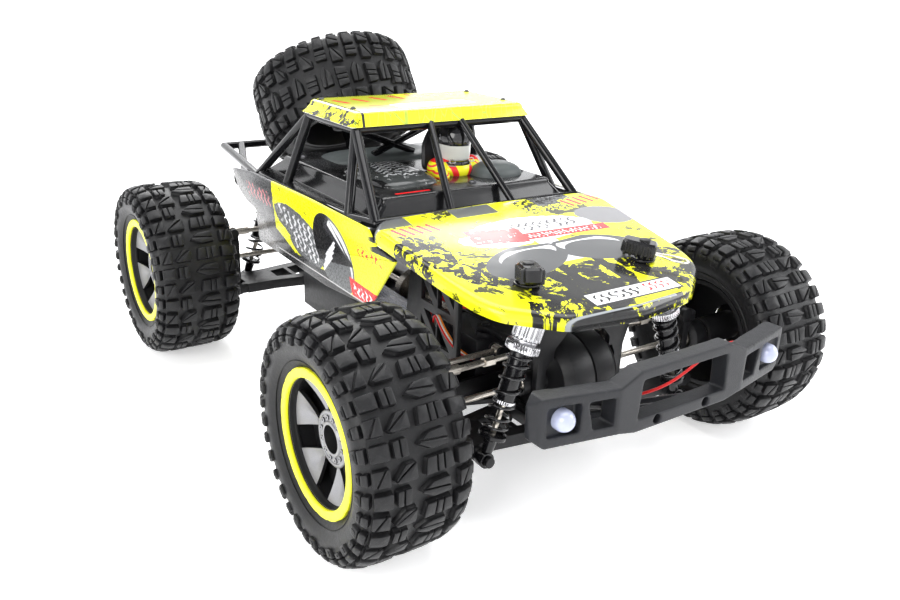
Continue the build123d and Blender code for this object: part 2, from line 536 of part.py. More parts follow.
def cage_tubes():
    """Centre lines of one side's cage tubes, at +X: the thick ones, the ends of those that cross, the thin."""
    roof_f, roof_r = (62.0, -0.5, 176.5), (62.0, 61.0, 176.5)
    sill_f, sill_m, sill_b = (74.0, -45.5, 132.5), (77.5, -20.0, 130.5), (77.5, 68.0, 127.5)
    sill_s, sill_t, tail = (76.5, 116.0, 127.0), (72.5, 152.0, 124.5), (70.0, 154.0, 119.3)
    hoop, hoop_in = (66.0, HALF_LENGTH - TUBE_R, 130.0), (52.0, HALF_LENGTH - TUBE_R, 130.0)
    side = [(roof_f, roof_r), (roof_f, sill_f), (roof_f, sill_m), (roof_r, sill_b), (roof_r, sill_s),
            (sill_f, sill_m), (sill_m, sill_b), (sill_b, sill_s), (sill_s, sill_t),
            (sill_s, hoop), (sill_t, hoop_in), (sill_t, tail)]
    windscreen = ((11.6, -2.8, 178.0), (23.0, -46.0, 133.5))
    brace = (roof_r, (-16.0, 60.0, 147.0))
    return side, [roof_f, roof_r, sill_f, hoop, tail, sill_s], [windscreen, brace]


def flip(p):
    return (-p[0], p[1], p[2])


def roll_cage():
    """Welded tube frame: roof loop, pillars, sills, rear stays, cross braces and the tail hoop."""
    side, across, thin_side = cage_tubes()
    lines = side + [(flip(a), flip(b)) for a, b in side] + [(a, flip(a)) for a in across]
    thin = thin_side + [(flip(a), flip(b)) for a, b in thin_side]
    knots = {p for a, b in side for p in (a, b)}
    cage = None
    for a, b in lines:
        tube = rod(a, b, TUBE_R)
        cage = tube if cage is None else cage + tube
    for a, b in thin:
        cage = cage + rod(a, b, THIN_TUBE_R)
    for p in knots:
        cage = cage + ball(p, TUBE_R) + ball(flip(p), TUBE_R)
    lean = radians(SPARE_TILT)
    axis = Vector(0, sin(lean), cos(lean))
    centre = Vector(*SPARE_C)
    cage = cage + rod(tuple(centre - axis * SPARE_POST), tuple(centre + axis * 18), 2.9)
    for side in (1, -1):
        ring = Pos(side * 75, 160, 115) * Rot(0, 90, 0) * Torus(3.9, 1.3)
        cage = cage + ring + rod((side * 75, 159, 118.7), (side * 72.5, 152, 124.5), 1.6)
    return cage


def frustum(low, high, z_low, z_high):
    """Block with sloping sides, from two (x half, y low, y high) rectangles."""
    faces = []
    for (half, y0, y1), z in ((low, z_low), (high, z_high)):
        faces.append(make_face(Polyline((-half, y0, z), (half, y0, z), (half, y1, z), (-half, y1, z), close=True)))
    return loft(faces)


def roof_panel():
    """Shallow pan with sloping edges that sits over the cage's roof loop."""
    r = ROOF
    outer = frustum((r["half"], r["front"], r["rear"]), (r["top_half"], r["front"] + 2, r["rear"] - 4),
                    r["low"], r["high"])
    inner = frustum((r["half"] - SKIN, r["front"] + SKIN, r["rear"] - SKIN),
                    (r["top_half"] - SKIN, r["front"] + 2 + SKIN, r["rear"] - 4 - SKIN),
                    r["low"] - 0.01, r["high"] - SKIN)
    return outer - inner


def hood_z(y):
    return HOOD_REAR_Z + (y - HOOD_REAR_Y) * HOOD_SLOPE


def hood_layer(outline, drop_low, drop_high):
    """Slice of the hood's outline between two planes that follow its slope."""
    y0, y1 = -190.0, -40.0
    slab = [(y0, hood_z(y0) - drop_low), (y1, hood_z(y1) - drop_low), (y1, hood_z(y1) - drop_high),
            (y0, hood_z(y0) - drop_high)]
    return prism_xy(outline, 60, 180) & prism_yz(slab, -100, 100)


def hood_panel():
    """Sloping bonnet panel with turned-down edges and holes for the two body posts."""
    front = [(84.5, -60), (80.5, -99), (78, -126), (75, -143), (69.5, -155), (42, -175)]
    rear, nose = (74, HOOD_REAR_Y - 2), -180
    outline = mirrored([(0, HOOD_REAR_Y), rear] + front + [(0, nose)])
    inset = [(x - SKIN, y + (SKIN if y < -150 else 0)) for x, y in front]
    open_rear = HOOD_REAR_Y + 5
    inner = mirrored([(0, open_rear), (rear[0] - SKIN, open_rear)] + inset + [(0, nose + SKIN)])
    hood = hood_layer(outline, SKIN, 0) + (hood_layer(outline, HOOD_SKIRT, 0) - hood_layer(inner, HOOD_SKIRT + 5, -5))
    for side in (1, -1):
        x, y = side * POST_X, AXLE_Y["f"] - POST_Y
        hood = hood - rod((x, y, 90), (x, y, 150), POST_R + GAP)
    return hood


def side_panel():
    """One side's panel: flat sheet leaning inwards, from the hood to the tail."""
    outline = [(-53, 133), (-58, 124.5), (-80, 121.8), (-36, 79), (23, 73), (131, 74.5), (128, 84), (122, 101),
               (138, 104), (148, 110), (152, 126), (112, 130.5), (20, 133)]
    low, high = 70.0, 136.0
    slab = prism_yz(outline, 60, 95)
    lean = prism_xz([(panel_x(low), low), (panel_x(high), high), (panel_x(high) - SKIN, high),
                     (panel_x(low) - SKIN, low)], -100, 170)
    return slab & lean


def cockpit_deck():
    """Raised deck over the machinery: a pan with sloping flanks, open below."""
    outer = frustum((70.0, -37.5, 112.0), (60.0, -32.5, 100.0), 133.0, 143.0)
    inner = frustum((70.0 - SKIN, -37.5 + SKIN, 112.0 - SKIN), (60.0 - SKIN, -32.5 + SKIN, 100.0 - SKIN),
                    132.9, 143.0 - SKIN)
    return outer - inner


DRIVER = (13.0, 6.0, 158.0)


def driver_figure():
    """Small driver's bust: torso, shoulders, neck ring and helmet."""
    x, y, z = DRIVER
    helmet = Pos(x, y, z) * Sphere(10.5) + Pos(x, y, z + 2) * Sphere(10.8)
    neck = Pos(x, y, z - 10) * Cylinder(9, 5)
    torso = Pos(x, y + 1, 147.7) * Box(36, 20, 9)
    return helmet + neck + fillet(torso.edges(), 3.5)


def spare_wheel():
    """Spare tyre on its rim, leaning back over the tail."""
    wheel = rim()
    pieces = [tyre(), wheel[0], wheel[1], wheel[3]]
    centred = [Pos(-TRACK_HALF, 0, -AXLE_Z) * p for p in pieces]
    turned_up = [Rot(0, -90, 0) * p for p in centred]
    return [Pos(*SPARE_C) * Rot(-SPARE_TILT, 0, 0) * p for p in turned_up]


# ---- write every node --------------------------------------------------------------------------
def save_corner(corner):
    front = corner[0] == "f"
    shapes = {"lower_arm": lower_arm, "upper_link": upper_link, "drive_shaft": drive_shaft, "shock_body": shock_body,
              "shock_shaft": shock_shaft, "spring": spring, "tyre": tyre}
    shapes.update({"c_hub": c_hub, "knuckle": knuckle, "tie_rod": tie_rod} if front else {"hub_carrier": hub_carrier})
    for node, make in shapes.items():
        save(f"{node}_{corner}", at_corner(make(), corner))
    save(f"rim_{corner}", [at_corner(piece, corner) for piece in rim()])


def main():
    for corner in CORNERS:
        save_corner(corner)
    for make in (chassis_tub, motor, centre_shaft, steering_servo, servo_horn, steering_link, battery_pack,
                 control_unit, front_bumper, bumper_lamps, wiring, roll_cage, roof_panel, hood_panel,
                 cockpit_deck, driver_figure, spare_wheel):
        save(make.__name__, make())
    save("gearboxes", [gearbox(end) for end in AXLE_Y])
    save("shock_towers", [shock_tower(end) for end in AXLE_Y])
    save("side_panels", [side_panel(), mirror(side_panel(), Plane.YZ)])


main()
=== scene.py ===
import json
import math

import bmesh
import bpy
from mathutils import Matrix, Vector

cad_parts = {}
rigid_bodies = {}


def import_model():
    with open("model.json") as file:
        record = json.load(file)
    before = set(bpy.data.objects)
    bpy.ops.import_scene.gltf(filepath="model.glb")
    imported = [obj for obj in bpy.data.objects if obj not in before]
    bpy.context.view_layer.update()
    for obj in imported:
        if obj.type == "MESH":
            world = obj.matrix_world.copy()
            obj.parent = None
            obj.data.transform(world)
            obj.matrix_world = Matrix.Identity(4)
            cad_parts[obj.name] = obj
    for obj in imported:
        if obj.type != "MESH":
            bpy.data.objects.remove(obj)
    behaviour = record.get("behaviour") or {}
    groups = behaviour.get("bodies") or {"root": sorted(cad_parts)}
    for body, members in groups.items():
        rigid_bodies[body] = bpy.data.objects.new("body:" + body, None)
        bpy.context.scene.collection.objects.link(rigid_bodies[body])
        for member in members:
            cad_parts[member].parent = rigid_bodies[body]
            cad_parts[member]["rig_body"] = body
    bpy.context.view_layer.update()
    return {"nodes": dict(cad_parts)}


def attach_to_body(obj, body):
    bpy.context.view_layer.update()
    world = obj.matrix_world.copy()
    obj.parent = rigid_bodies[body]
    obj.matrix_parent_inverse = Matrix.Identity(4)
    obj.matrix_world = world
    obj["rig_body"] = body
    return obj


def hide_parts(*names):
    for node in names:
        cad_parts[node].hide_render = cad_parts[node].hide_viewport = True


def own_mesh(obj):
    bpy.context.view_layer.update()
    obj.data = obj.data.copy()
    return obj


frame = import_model()
NODES = frame["nodes"]
MM = 0.001

# ---- places shared with the CAD model, in millimetres --------------------------------------------
AXLE_Y = {"f": -131.0, "r": 145.0}
SIDES = {"l": 1, "r": -1}
HAND = {1: "left", -1: "right"}
CORNERS = ["fl", "fr", "rl", "rr"]
TRACK_HALF, AXLE_Z = 131.0, 60.0
SHOCK_TOP, SHOCK_FOOT, SHOCK_Y = (44.0, 111.0), (70.5, 36.0), 19.5
SHOCK_LEN = math.dist(SHOCK_TOP, SHOCK_FOOT)
SHOCK_TILT = math.asin((SHOCK_FOOT[0] - SHOCK_TOP[0]) / SHOCK_LEN)
SPRING_TOP, SPRING_FOOT = 21.0, 65.0
SPARE_C, SPARE_TILT = (0.0, 143.3, 170.5), math.radians(34.0)
HOOD_REAR_Y, HOOD_REAR_Z, HOOD_SLOPE = -48.0, 136.5, 0.167
POST_X, POST_Y = 41.0, -139.4
PANEL_TOP_X, PANEL_TOP_Z, PANEL_LEAN = 84.0, 134.0, 12.0 / 59.0
BUMPER_FACE, LAMP_X, LAMP_Z = -212.0, 70.9, 84.4
DRIVER = (13.0, 6.0)
UPRIGHT = {"f": "c_hub", "r": "hub_carrier"}


# ---- node materials ------------------------------------------------------------------------------
class Shader:
    """A node material, written as expressions: every method returns a socket."""

    def __init__(self, name, colour=(0.5, 0.5, 0.5), rough=0.5, metal=0.0, coat=0.0, coat_rough=0.05):
        self.material = bpy.data.materials.new(name)
        self.material.use_nodes = True
        self.nodes = self.material.node_tree.nodes
        self.links = self.material.node_tree.links
        self.bsdf = self.nodes["Principled BSDF"]
        self.set("Base Color", (*colour, 1.0))
        self.set("Roughness", rough)
        self.set("Metallic", metal)
        self.set("Coat Weight", coat)
        self.set("Coat Roughness", coat_rough)
        self._place = None

    def set(self, socket, value):
        """Give a shader socket a constant, or link it."""
        self.put(self.bsdf.inputs[socket], value)

    def put(self, socket, value):
        if isinstance(value, bpy.types.NodeSocket):
            self.links.new(value, socket)
        elif hasattr(value, "__len__") and len(value) == 3 and socket.type == "RGBA":
            socket.default_value = (*value, 1.0)
        else:
            socket.default_value = value

    def node(self, kind, **settings):
        node = self.nodes.new("ShaderNode" + kind)
        for key, value in settings.items():
            setattr(node, key, value)
        return node

    def fill(self, node, **values):
        """Give a node's sockets, by name, their constants or links."""
        for name, value in values.items():
            self.put(node.inputs[name], value)

    def place(self):
        """Position in the piece's own frame, in millimetres."""
        if self._place is None:
            scale = self.node("VectorMath", operation="SCALE")
            self.links.new(self.node("TexCoord").outputs["Object"], scale.inputs[0])
            self.fill(scale, Scale=1 / MM)
            self._place = scale.outputs[0]
        return self._place

    def axes(self):
        """The position's X, Y and Z."""
        split = self.node("SeparateXYZ")
        self.put(split.inputs[0], self.place())
        return tuple(split.outputs)

    def join(self, x, y, z):
        node = self.node("CombineXYZ")
        self.fill(node, X=x, Y=y, Z=z)
        return node.outputs[0]

    def stretched(self, kx, ky, kz):
        """The position with its axes scaled, for noise drawn out into lines."""
        return self.join(*[self.mul(a, k) for a, k in zip(self.axes(), (kx, ky, kz))])

    def maths(self, operation, a, b=0.0, c=0.0, clamp=False):
        node = self.node("Math", operation=operation, use_clamp=clamp)
        for socket, value in zip(node.inputs, (a, b, c)):
            self.put(socket, value)
        return node.outputs[0]

    def add(self, a, b):
        return self.maths("ADD", a, b)

    def sub(self, a, b):
        return self.maths("SUBTRACT", a, b)

    def mul(self, a, b):
        return self.maths("MULTIPLY", a, b)

    def most(self, a, b):
        return self.maths("MAXIMUM", a, b)

    def size(self, a):
        return self.maths("ABSOLUTE", a)

    def wave(self, a):
        return self.maths("SINE", a)

    def below(self, value, edge, soft=0.3):
        """1 where value is under edge, 0 over it, with a soft step."""
        return self.maths("MULTIPLY_ADD", self.sub(edge, value), 1 / soft, 0.5, clamp=True)

    def above(self, value, edge, soft=0.3):
        return self.maths("MULTIPLY_ADD", self.sub(value, edge), 1 / soft, 0.5, clamp=True)

    def near(self, value, centre, reach, soft=0.3):
        """1 within reach of the centre, 0 outside it."""
        return self.below(self.size(self.sub(value, centre)), reach, soft)

    def noise(self, size, detail=3.0, rough=0.5, at=None, distort=0.0):
        """Noise from 0 to 1 whose blobs are about size millimetres."""
        node = self.node("TexNoise")
        self.fill(node, Vector=self.place() if at is None else at, Scale=1 / size, Detail=detail,
                  Roughness=rough, Distortion=distort)
        return node.outputs["Fac"]

    def mesh_lines(self, size, u, v, width, soft):
        """1 along the borders of a net of cells about size millimetres wide."""
        node = self.node("TexVoronoi", feature="DISTANCE_TO_EDGE")
        self.fill(node, Vector=self.join(u, v, 0.0), Scale=1 / size)
        return self.below(node.outputs["Distance"], width, soft)

    def mix(self, amount, low, high):
        """Colour between low and high."""
        node = self.node("Mix", data_type="RGBA")
        self.fill(node, Factor=amount)
        for name, value in (("A", low), ("B", high)):
            colours = [socket for socket in node.inputs if socket.name == name and socket.type == "RGBA"]
            self.put(colours[0], value)
        return next(socket for socket in node.outputs if socket.type == "RGBA")

    def span(self, value, low, high):
        """Stretch 0..1 to low..high."""
        node = self.node("MapRange")
        self.put(node.inputs["Value"], value)
        self.put(node.inputs["To Min"], low)
        self.put(node.inputs["To Max"], high)
        return node.outputs["Result"]

    def bump(self, height, depth):
        """Relief: height from 0 to 1 stands depth millimetres tall."""
        node = self.node("Bump")
        self.fill(node, Strength=1.0, Distance=depth * MM, Height=height)
        self.set("Normal", node.outputs["Normal"])

    # flat shapes in a plane with coordinates u and v
    def turn(self, u, v, centre, degrees):
        a = math.radians(degrees)
        du, dv = self.sub(u, centre[0]), self.sub(v, centre[1])
        along = self.add(self.mul(du, math.cos(a)), self.mul(dv, math.sin(a)))
        across = self.sub(self.mul(dv, math.cos(a)), self.mul(du, math.sin(a)))
        return along, across

    def bar(self, u, v, centre, size, degrees=0.0, soft=0.3):
        """Rectangle."""
        along, across = self.turn(u, v, centre, degrees)
        out = self.most(self.sub(self.size(along), size[0] / 2), self.sub(self.size(across), size[1] / 2))
        return self.below(out, 0.0, soft)

    def oval(self, u, v, centre, size, degrees=0.0, soft=0.3):
        along, across = self.turn(u, v, centre, degrees)
        ru, rv = size[0] / 2, size[1] / 2
        parts = [self.size(self.mul(part, 1 / r)) for part, r in ((along, ru), (across, rv))]
        squares = [self.maths("POWER", part, 2.0) for part in parts]
        return self.below(self.maths("SQRT", self.add(*squares)), 1.0, soft / min(ru, rv))

    def wedge(self, u, v, tip, degrees, spread, reach, soft=0.3):
        """Triangle with its tip at tip, opening along degrees."""
        along, across = self.turn(u, v, tip, degrees)
        sides = self.sub(self.size(across), self.mul(along, math.tan(math.radians(spread))))
        out = self.most(self.most(sides, self.sub(along, reach)), self.mul(along, -1.0))
        return self.below(out, 0.0, soft)

    def hashes(self, u, v, first, step, size, degrees, count):
        """A row of slanted bars."""
        rows = None
        for i in range(count):
            centre = (first[0] + step[0] * i, first[1] + step[1] * i)
            one = self.bar(u, v, centre, size, degrees)
            rows = one if rows is None else self.most(rows, one)
        return rows

    def ragged(self, u, v, size, amount, seed=0.0):
        """u and v pushed about by noise, so that a shape drawn with them has torn edges."""
        def pushed(value, at):
            return self.add(value, self.mul(self.sub(self.noise(size, 4.0, 0.65, at), 0.5), 2 * amount))
        return pushed(u, self.join(u, v, seed)), pushed(v, self.join(v, u, seed + 37.0))


def shade(tone, factor, lift=0.0):
    """A tone darkened or brightened."""
    return [min(1.0, c * factor + lift) for c in tone]


def rubber(name, tone):
    s = Shader(name, rough=0.62)
    s.set("Specular IOR Level", 0.3)
    cloud = s.noise(9.0, 4.0)
    dust = s.noise(1.4, 5.0, 0.7)
    base = s.mix(cloud, shade(tone, 0.8), shade(tone, 1.3))
    s.set("Base Color", s.mix(s.mul(s.above(dust, 0.66, 0.2), 0.25), base, (0.05, 0.05, 0.053)))
    s.set("Roughness", s.span(s.noise(3.0, 4.0), 0.34, 0.52))
    s.bump(s.add(s.mul(s.noise(0.35, 3.0), 0.6), s.noise(2.0, 2.0)), 0.12)
    return s.material


def plastic(name, tone, rough, grain, depth, scuff=0.12, coat=0.0):
    """Moulded plastic: fine grain, slight colour drift, a few pale scuffs."""
    s = Shader(name, rough=rough, coat=coat)
    s.set("Specular IOR Level", 0.28)
    drift = s.noise(18.0, 3.0)
    long = s.noise(2.2, 5.0, 0.75, s.stretched(1.0, 0.25, 1.6))
    base = s.mix(drift, shade(tone, 0.85), shade(tone, 1.15, 0.002))
    s.set("Base Color", s.mix(s.mul(s.above(long, 0.68, 0.1), scuff), base, shade(tone, 1.6, 0.05)))
    s.set("Roughness", s.span(s.noise(grain * 5, 3.0), rough - 0.08, rough + 0.1))
    s.bump(s.noise(grain, 2.0, 0.6), depth)
    return s.material


def metal(name, tone, rough, along=(1.0, 1.0, 1.0), coat=0.0):
    """Turned or drawn metal: lines stretched along one axis, slight tarnish."""
    s = Shader(name, rough=rough, metal=1.0, coat=coat)
    lines = s.noise(0.5, 3.0, 0.6, s.stretched(*along))
    stain = s.noise(6.0, 4.0, 0.6)
    s.set("Base Color", s.mix(s.mul(s.above(stain, 0.6, 0.3), 0.5), tone, shade(tone, 0.62)))
    s.set("Roughness", s.span(lines, rough - 0.06, rough + 0.12))
    s.bump(lines, 0.02)
    return s.material


def gloss(name, tone, rough=0.1, coat=0.3):
    """Glossy moulding with hairline scratches."""
    s = Shader(name, tone, rough=rough, coat=coat)
    s.set("Specular IOR Level", 0.22)
    hair = s.noise(1.1, 2.0, 0.5, s.stretched(1.0, 0.08, 0.5))
    s.set("Roughness", s.span(s.maths("POWER", hair, 3.0), rough, rough + 0.2))
    s.set("Base Color", s.mix(s.noise(14.0), shade(tone, 0.8), shade(tone, 1.2, 0.001)))
    s.bump(s.noise(5.0, 2.0), 0.05)
    return s.material


YELLOW = (0.88, 0.9, 0.008)
BLACK = (0.006, 0.006, 0.008)
GREY = (0.11, 0.115, 0.12)
PALE = (0.72, 0.72, 0.74)
WHITE = (0.88, 0.88, 0.9)
RED = (0.82, 0.012, 0.016)


def printed(name, draw, plane, rough=0.17, haze=0.04, coat=0.3):
    """Clear-coated printed sheet. draw(shader, u, v) returns the colour over the plane's two axes."""
    s = Shader(name, rough=rough, coat=coat, coat_rough=0.08)
    s.set("Specular IOR Level", 0.3)
    colour = draw(s, *[s.axes()["xyz".index(axis)] for axis in plane])
    s.set("Base Color", s.mix(s.mul(s.noise(24.0, 2.0), haze), colour, (0.5, 0.5, 0.4)))
    s.set("Roughness", s.span(s.noise(1.2, 4.0, 0.7), rough - 0.05, rough + 0.12))
    s.bump(s.noise(11.0, 2.0), 0.12)
    return s.material


def speckle(s, u, v, size, level, seed, soft=0.03):
    """Ink splatter: hard-edged blots of many sizes."""
    at = s.join(u, v, s.add(s.axes()[2], seed))
    return s.above(s.noise(size, 7.0, 0.68, at, 0.6), level, soft)


def layer(s, colour, *steps):
    """Paint masks over a colour, in order."""
    for mask, tone in steps:
        colour = s.mix(mask, colour, tone)
    return colour


def scribble(s, u, v, centre, size, degrees, pitch, seed):
    """Unreadable brush script: broken upright strokes inside a soft oval."""
    a, b = s.ragged(u, v, 3.2, 1.6, seed)
    along, across = s.turn(a, b, centre, degrees)
    sway = s.mul(s.wave(s.mul(across, 1.1)), 1.1)
    stroke = s.above(s.wave(s.mul(s.add(along, sway), 2 * math.pi / pitch)), 0.35, 0.25)
    broken = s.above(s.noise(3.4, 2.0, 0.5, s.join(a, b, seed + 5.0)), 0.42, 0.05)
    return s.mul(s.mul(stroke, broken), s.bar(a, b, centre, size, degrees, 0.8))


def hood_ink(s, x, y):
    """The bonnet's torn black fields: splatter, front, right and left, in painting order."""
    a, b = s.ragged(x, y, 9.0, 3.5, 3.0)
    torn = s.above(s.noise(15.0, 7.0, 0.72, s.join(x, y, 2.0), 0.5), 0.455, 0.02)
    blots = s.most(speckle(s, x, y, 26.0, 0.575, 1.0), speckle(s, x, y, 9.0, 0.63, 7.0))
    front = s.mul(s.oval(a, b, (-16.0, -155.0), (84.0, 46.0), 20.0), torn)
    right = s.mul(s.oval(a, b, (54.0, -148.0), (64.0, 42.0), -28.0), torn)
    left = s.most(s.oval(a, b, (-72.0, -94.0), (26.0, 44.0), 6.0),
                  s.oval(a, b, (-52.0, -124.0), (38.0, 26.0), -20.0))
    return blots, front, right, left


def hood_eyes(s, mirrored, y):
    """Two grey eye shapes mirrored about the bonnet's middle, each with a pale crescent over it."""
    lid = s.below(s.add(y, s.mul(mirrored, -0.1)), -105.0)
    eye = s.mul(s.oval(mirrored, y, (26.0, -118.0), (60.0, 30.0), -14.0), lid)
    brow = s.mul(s.oval(mirrored, y, (22.0, -113.0), (42.0, 17.0), -10.0), s.below(y, -107.0))
    brow_cut = s.oval(mirrored, y, (24.0, -118.0), (42.0, 19.0), -10.0)
    return (eye, (0.07, 0.073, 0.078)), (s.mul(brow, s.sub(1.0, brow_cut)), WHITE)


def hood_burst(s, x, y, mirrored):
    """White burst on a black spine, with strokes over and in a red bar and a torn red block beside them."""
    a, b = s.ragged(x, y, 9.0, 3.5, 3.0)
    c, d = s.ragged(x, y, 4.0, 1.2, 9.0)
    burst = s.most(s.oval(a, b, (6.0, -86.0), (84.0, 28.0), -4.0),
                   s.oval(a, b, (-26.0, -94.0), (44.0, 15.0), -16.0))
    spine = s.mul(s.bar(mirrored, y, (0.0, -128.0), (14.0, 60.0)), s.below(y, -98.0))
    holes = s.above(s.noise(3.0, 2.0, 0.5, s.join(x, y, 8.0)), 0.36, 0.04)
    block = s.mul(s.bar(c, d, (-22.0, -89.0), (34.0, 17.0), -10.0), holes)
    return ((burst, WHITE), (s.mul(spine, s.above(y, -126.0)), WHITE),
            (scribble(s, x, y, (14.0, -84.0), (52.0, 10.0), -2.0, 5.2, 12.0), (0.05, 0.05, 0.06)),
            (block, RED),
            (s.bar(x, y, (22.0, -95.5), (64.0, 7.5), -2.5), RED),
            (scribble(s, x, y, (22.0, -95.5), (52.0, 4.2), -2.5, 3.0, 15.0), WHITE))


def hood_hashes(s, x, y):
    """Rows of slanted red bars on wider yellow ones at both rear corners."""
    rows = (((-73.0, -68.5), (5.6, 0.2)), ((52.0, -63.0), (5.9, 0.8)))
    sizes = (((4.6, 12.0), (4.6, 12.0), YELLOW), ((2.7, 10.5), (2.9, 10.5), RED))
    return [(s.hashes(x, y, first, step, size[k], 24.0, 5), size[2]) for size in sizes
            for k, (first, step) in enumerate(rows)]


def hood_label(s, x, y):
    """White label with a black edge and strokes that spell nothing."""
    place, tilt = (9.0, -164.5), -0.5
    return ((s.bar(x, y, place, (62.0, 12.5), tilt), BLACK), (s.bar(x, y, place, (59.5, 10.0), tilt), WHITE),
            (scribble(s, x, y, (-2.0, -164.5), (32.0, 7.0), tilt, 5.0, 21.0), BLACK),
            (scribble(s, x, y, (27.0, -164.0), (18.0, 7.0), tilt, 4.4, 25.0), RED))


def hood_patches(s, x, y):
    """Grey checks, a dark tartan square and a grey corner along the rear edge."""
    c, d = s.ragged(x, y, 4.0, 1.2, 9.0)
    checks = s.mul(s.above(y, -70.0), s.above(s.wave(s.mul(s.add(x, 30.0), 0.105)), 0.0, 0.1))
    checks = s.mul(checks, s.above(s.wave(s.mul(s.add(y, -2.0), 0.3)), -0.3, 0.1))
    weave = s.above(s.noise(2.2, 3.0, 0.6, s.join(x, y, 4.0)), 0.5, 0.04)
    tartan = s.mul(s.bar(x, y, (36.0, -60.0), (40.0, 20.0)), weave)
    corner = s.oval(c, d, (64.0, -84.0), (40.0, 24.0), -14.0)
    return (checks, GREY), (tartan, BLACK), (corner, (0.2, 0.2, 0.21))


def draw_hood(s, x, y):
    """Bonnet print: yellow with torn black blots, a white burst with a red bar, two grey eye shapes; a
    painted highlight runs along the nose's bend.
    """
    mirrored = s.size(s.sub(x, 3.0))
    blots, front, right, left = hood_ink(s, x, y)
    nose_line = s.add(y, s.mul(s.size(x), -0.07))
    nose_ink = s.above(s.noise(9.0, 6.0, 0.7, s.join(x, s.axes()[2], 6.0)), 0.45, 0.04)
    # painted highlight: a pale blue-grey line along the rolled bend of the nose, left of x 30
    nose_bend_highlight = s.mul(s.below(s.size(s.add(nose_line, 176.6)), 0.5), s.below(x, 30.0))
    stripes = s.mul(s.mul(s.below(y, -128.0), s.above(y, -158.0)), s.near(mirrored, 13.0, 3.2))
    return layer(s, YELLOW, (s.mul(blots, 0.96), BLACK), *hood_patches(s, x, y),
                 (left, BLACK), (s.mul(left, speckle(s, x, y, 6.0, 0.55, 31.0)), YELLOW), (front, BLACK),
                 (right, BLACK), (s.mul(right, speckle(s, x, y, 6.0, 0.6, 33.0)), YELLOW), (stripes, BLACK),
                 *hood_burst(s, x, y, mirrored), *hood_eyes(s, mirrored, y), *hood_hashes(s, x, y),
                 *hood_label(s, x, y), (s.mul(s.below(nose_line, -176.0, 0.3), nose_ink), BLACK),
                 (nose_bend_highlight, (0.3, 0.32, 0.34)))


def side_crest(s, y, z):
    """Grey oval with a pale crescent, a black wedge, slanted slashes, a dark horn and a glint."""
    c, d = s.ragged(y, z, 2.5, 0.9, 8.0)
    crest = s.oval(y, z, (0.0, 102.0), (50.0, 52.0), -20.0)
    inner = s.oval(y, z, (1.5, 99.0), (44.0, 46.0), -20.0)
    light = s.mul(s.oval(y, z, (0.0, 102.0), (46.0, 48.0), -20.0), s.sub(1.0, inner))
    core = s.mul(crest, s.wedge(c, d, (-26.0, 101.0), 18.0, 28.0, 52.0))
    slash = s.mul(crest, s.hashes(c, d, (12.0, 92.0), (-3.4, 4.6), (1.6, 24.0), 52.0, 4))
    horn = s.wedge(y, z, (-24.0, 102.0), 38.0, 11.0, 34.0)
    glint = s.mul(s.wedge(c, d, (-18.0, 106.0), 46.0, 6.0, 24.0), crest)
    return ((crest, GREY), (light, PALE), (core, BLACK), (slash, PALE), (horn, (0.03, 0.03, 0.035)),
            (glint, PALE))


def side_tags(s, y, z):
    """Spikes and a red mark at the front, and a red tag with strokes on it."""
    c, d = s.ragged(y, z, 2.5, 0.9, 8.0)
    spikes = s.most(s.wedge(c, d, (-40.0, 119.0), 171.0, 6.0, 48.0),
                    s.wedge(c, d, (-36.0, 126.0), 176.0, 4.5, 48.0))
    tag_u, tag_v = s.ragged(y, z, 3.0, 0.5, 40.0)
    return ((s.mul(spikes, s.below(y, -52.0, 6.0)), BLACK),
            (scribble(s, y, z, (-48.0, 115.5), (28.0, 7.0), 2.0, 5.0, 19.0), RED),
            (s.bar(tag_u, tag_v, (-32.0, 85.5), (31.0, 13.0), 3.0), RED),
            (scribble(s, y, z, (-32.0, 85.5), (24.0, 7.0), 3.0, 4.8, 44.0), WHITE))


def draw_side(s, y, z):
    """Flank print: grey tail, yellow middle with blots, brush script, an oval crest and a red tag."""
    a, b = s.ragged(y, z, 6.0, 2.6, 3.0)
    tail = s.above(s.add(a, s.mul(s.sub(b, 118.0), 0.3)), 82.0, 0.4)
    tail_white = s.above(s.add(y, s.mul(s.sub(130.0, z), 1.1)), 148.0, 10.0)
    dark = s.below(s.add(b, s.mul(s.sub(84.0, a), 0.42)), 94.0, 0.4)
    dark = s.mul(dark, s.above(a, 30.0, 3.0))
    dark = s.most(dark, s.mul(s.below(b, 85.0, 0.4), s.above(a, -10.0, 0.4)))
    blots = s.mul(speckle(s, y, z, 7.0, 0.63, 1.0), s.above(y, 20.0, 8.0))
    cloud = s.most(s.oval(a, b, (50.0, 107.0), (66.0, 24.0), 6.0),
                   s.oval(a, b, (42.0, 93.0), (48.0, 20.0), 4.0))
    script = s.most(scribble(s, y, z, (50.0, 108.0), (56.0, 14.0), 8.0, 7.0, 4.0),
                    scribble(s, y, z, (42.0, 94.0), (36.0, 12.0), 8.0, 6.4, 14.0))
    reeds = s.mul(dark, s.above(s.wave(s.mul(s.add(y, s.mul(z, -0.4)), 1.9)), 0.62, 0.2))
    behind_nose = s.above(y, -46.0)
    hem = s.mul(s.below(z, 79.5), behind_nose)
    hem_line = s.mul(s.near(z, 80.0, 0.5), behind_nose)
    tail_mark = s.mul(scribble(s, y, z, (107.0, 116.0), (40.0, 11.0), 0.0, 6.0, 51.0), tail)
    tail_tone = s.mix(tail_white, (0.05, 0.051, 0.055), (0.24, 0.235, 0.235))
    return layer(s, YELLOW, (blots, BLACK), (cloud, GREY), (dark, BLACK), (s.mul(reeds, 0.5), GREY),
                 (script, PALE), *side_crest(s, y, z), *side_tags(s, y, z), (hem, (0.02, 0.02, 0.022)),
                 (hem_line, (0.5, 0.5, 0.5)), (tail, tail_tone), (tail_mark, (0.62, 0.2, 0.22)))


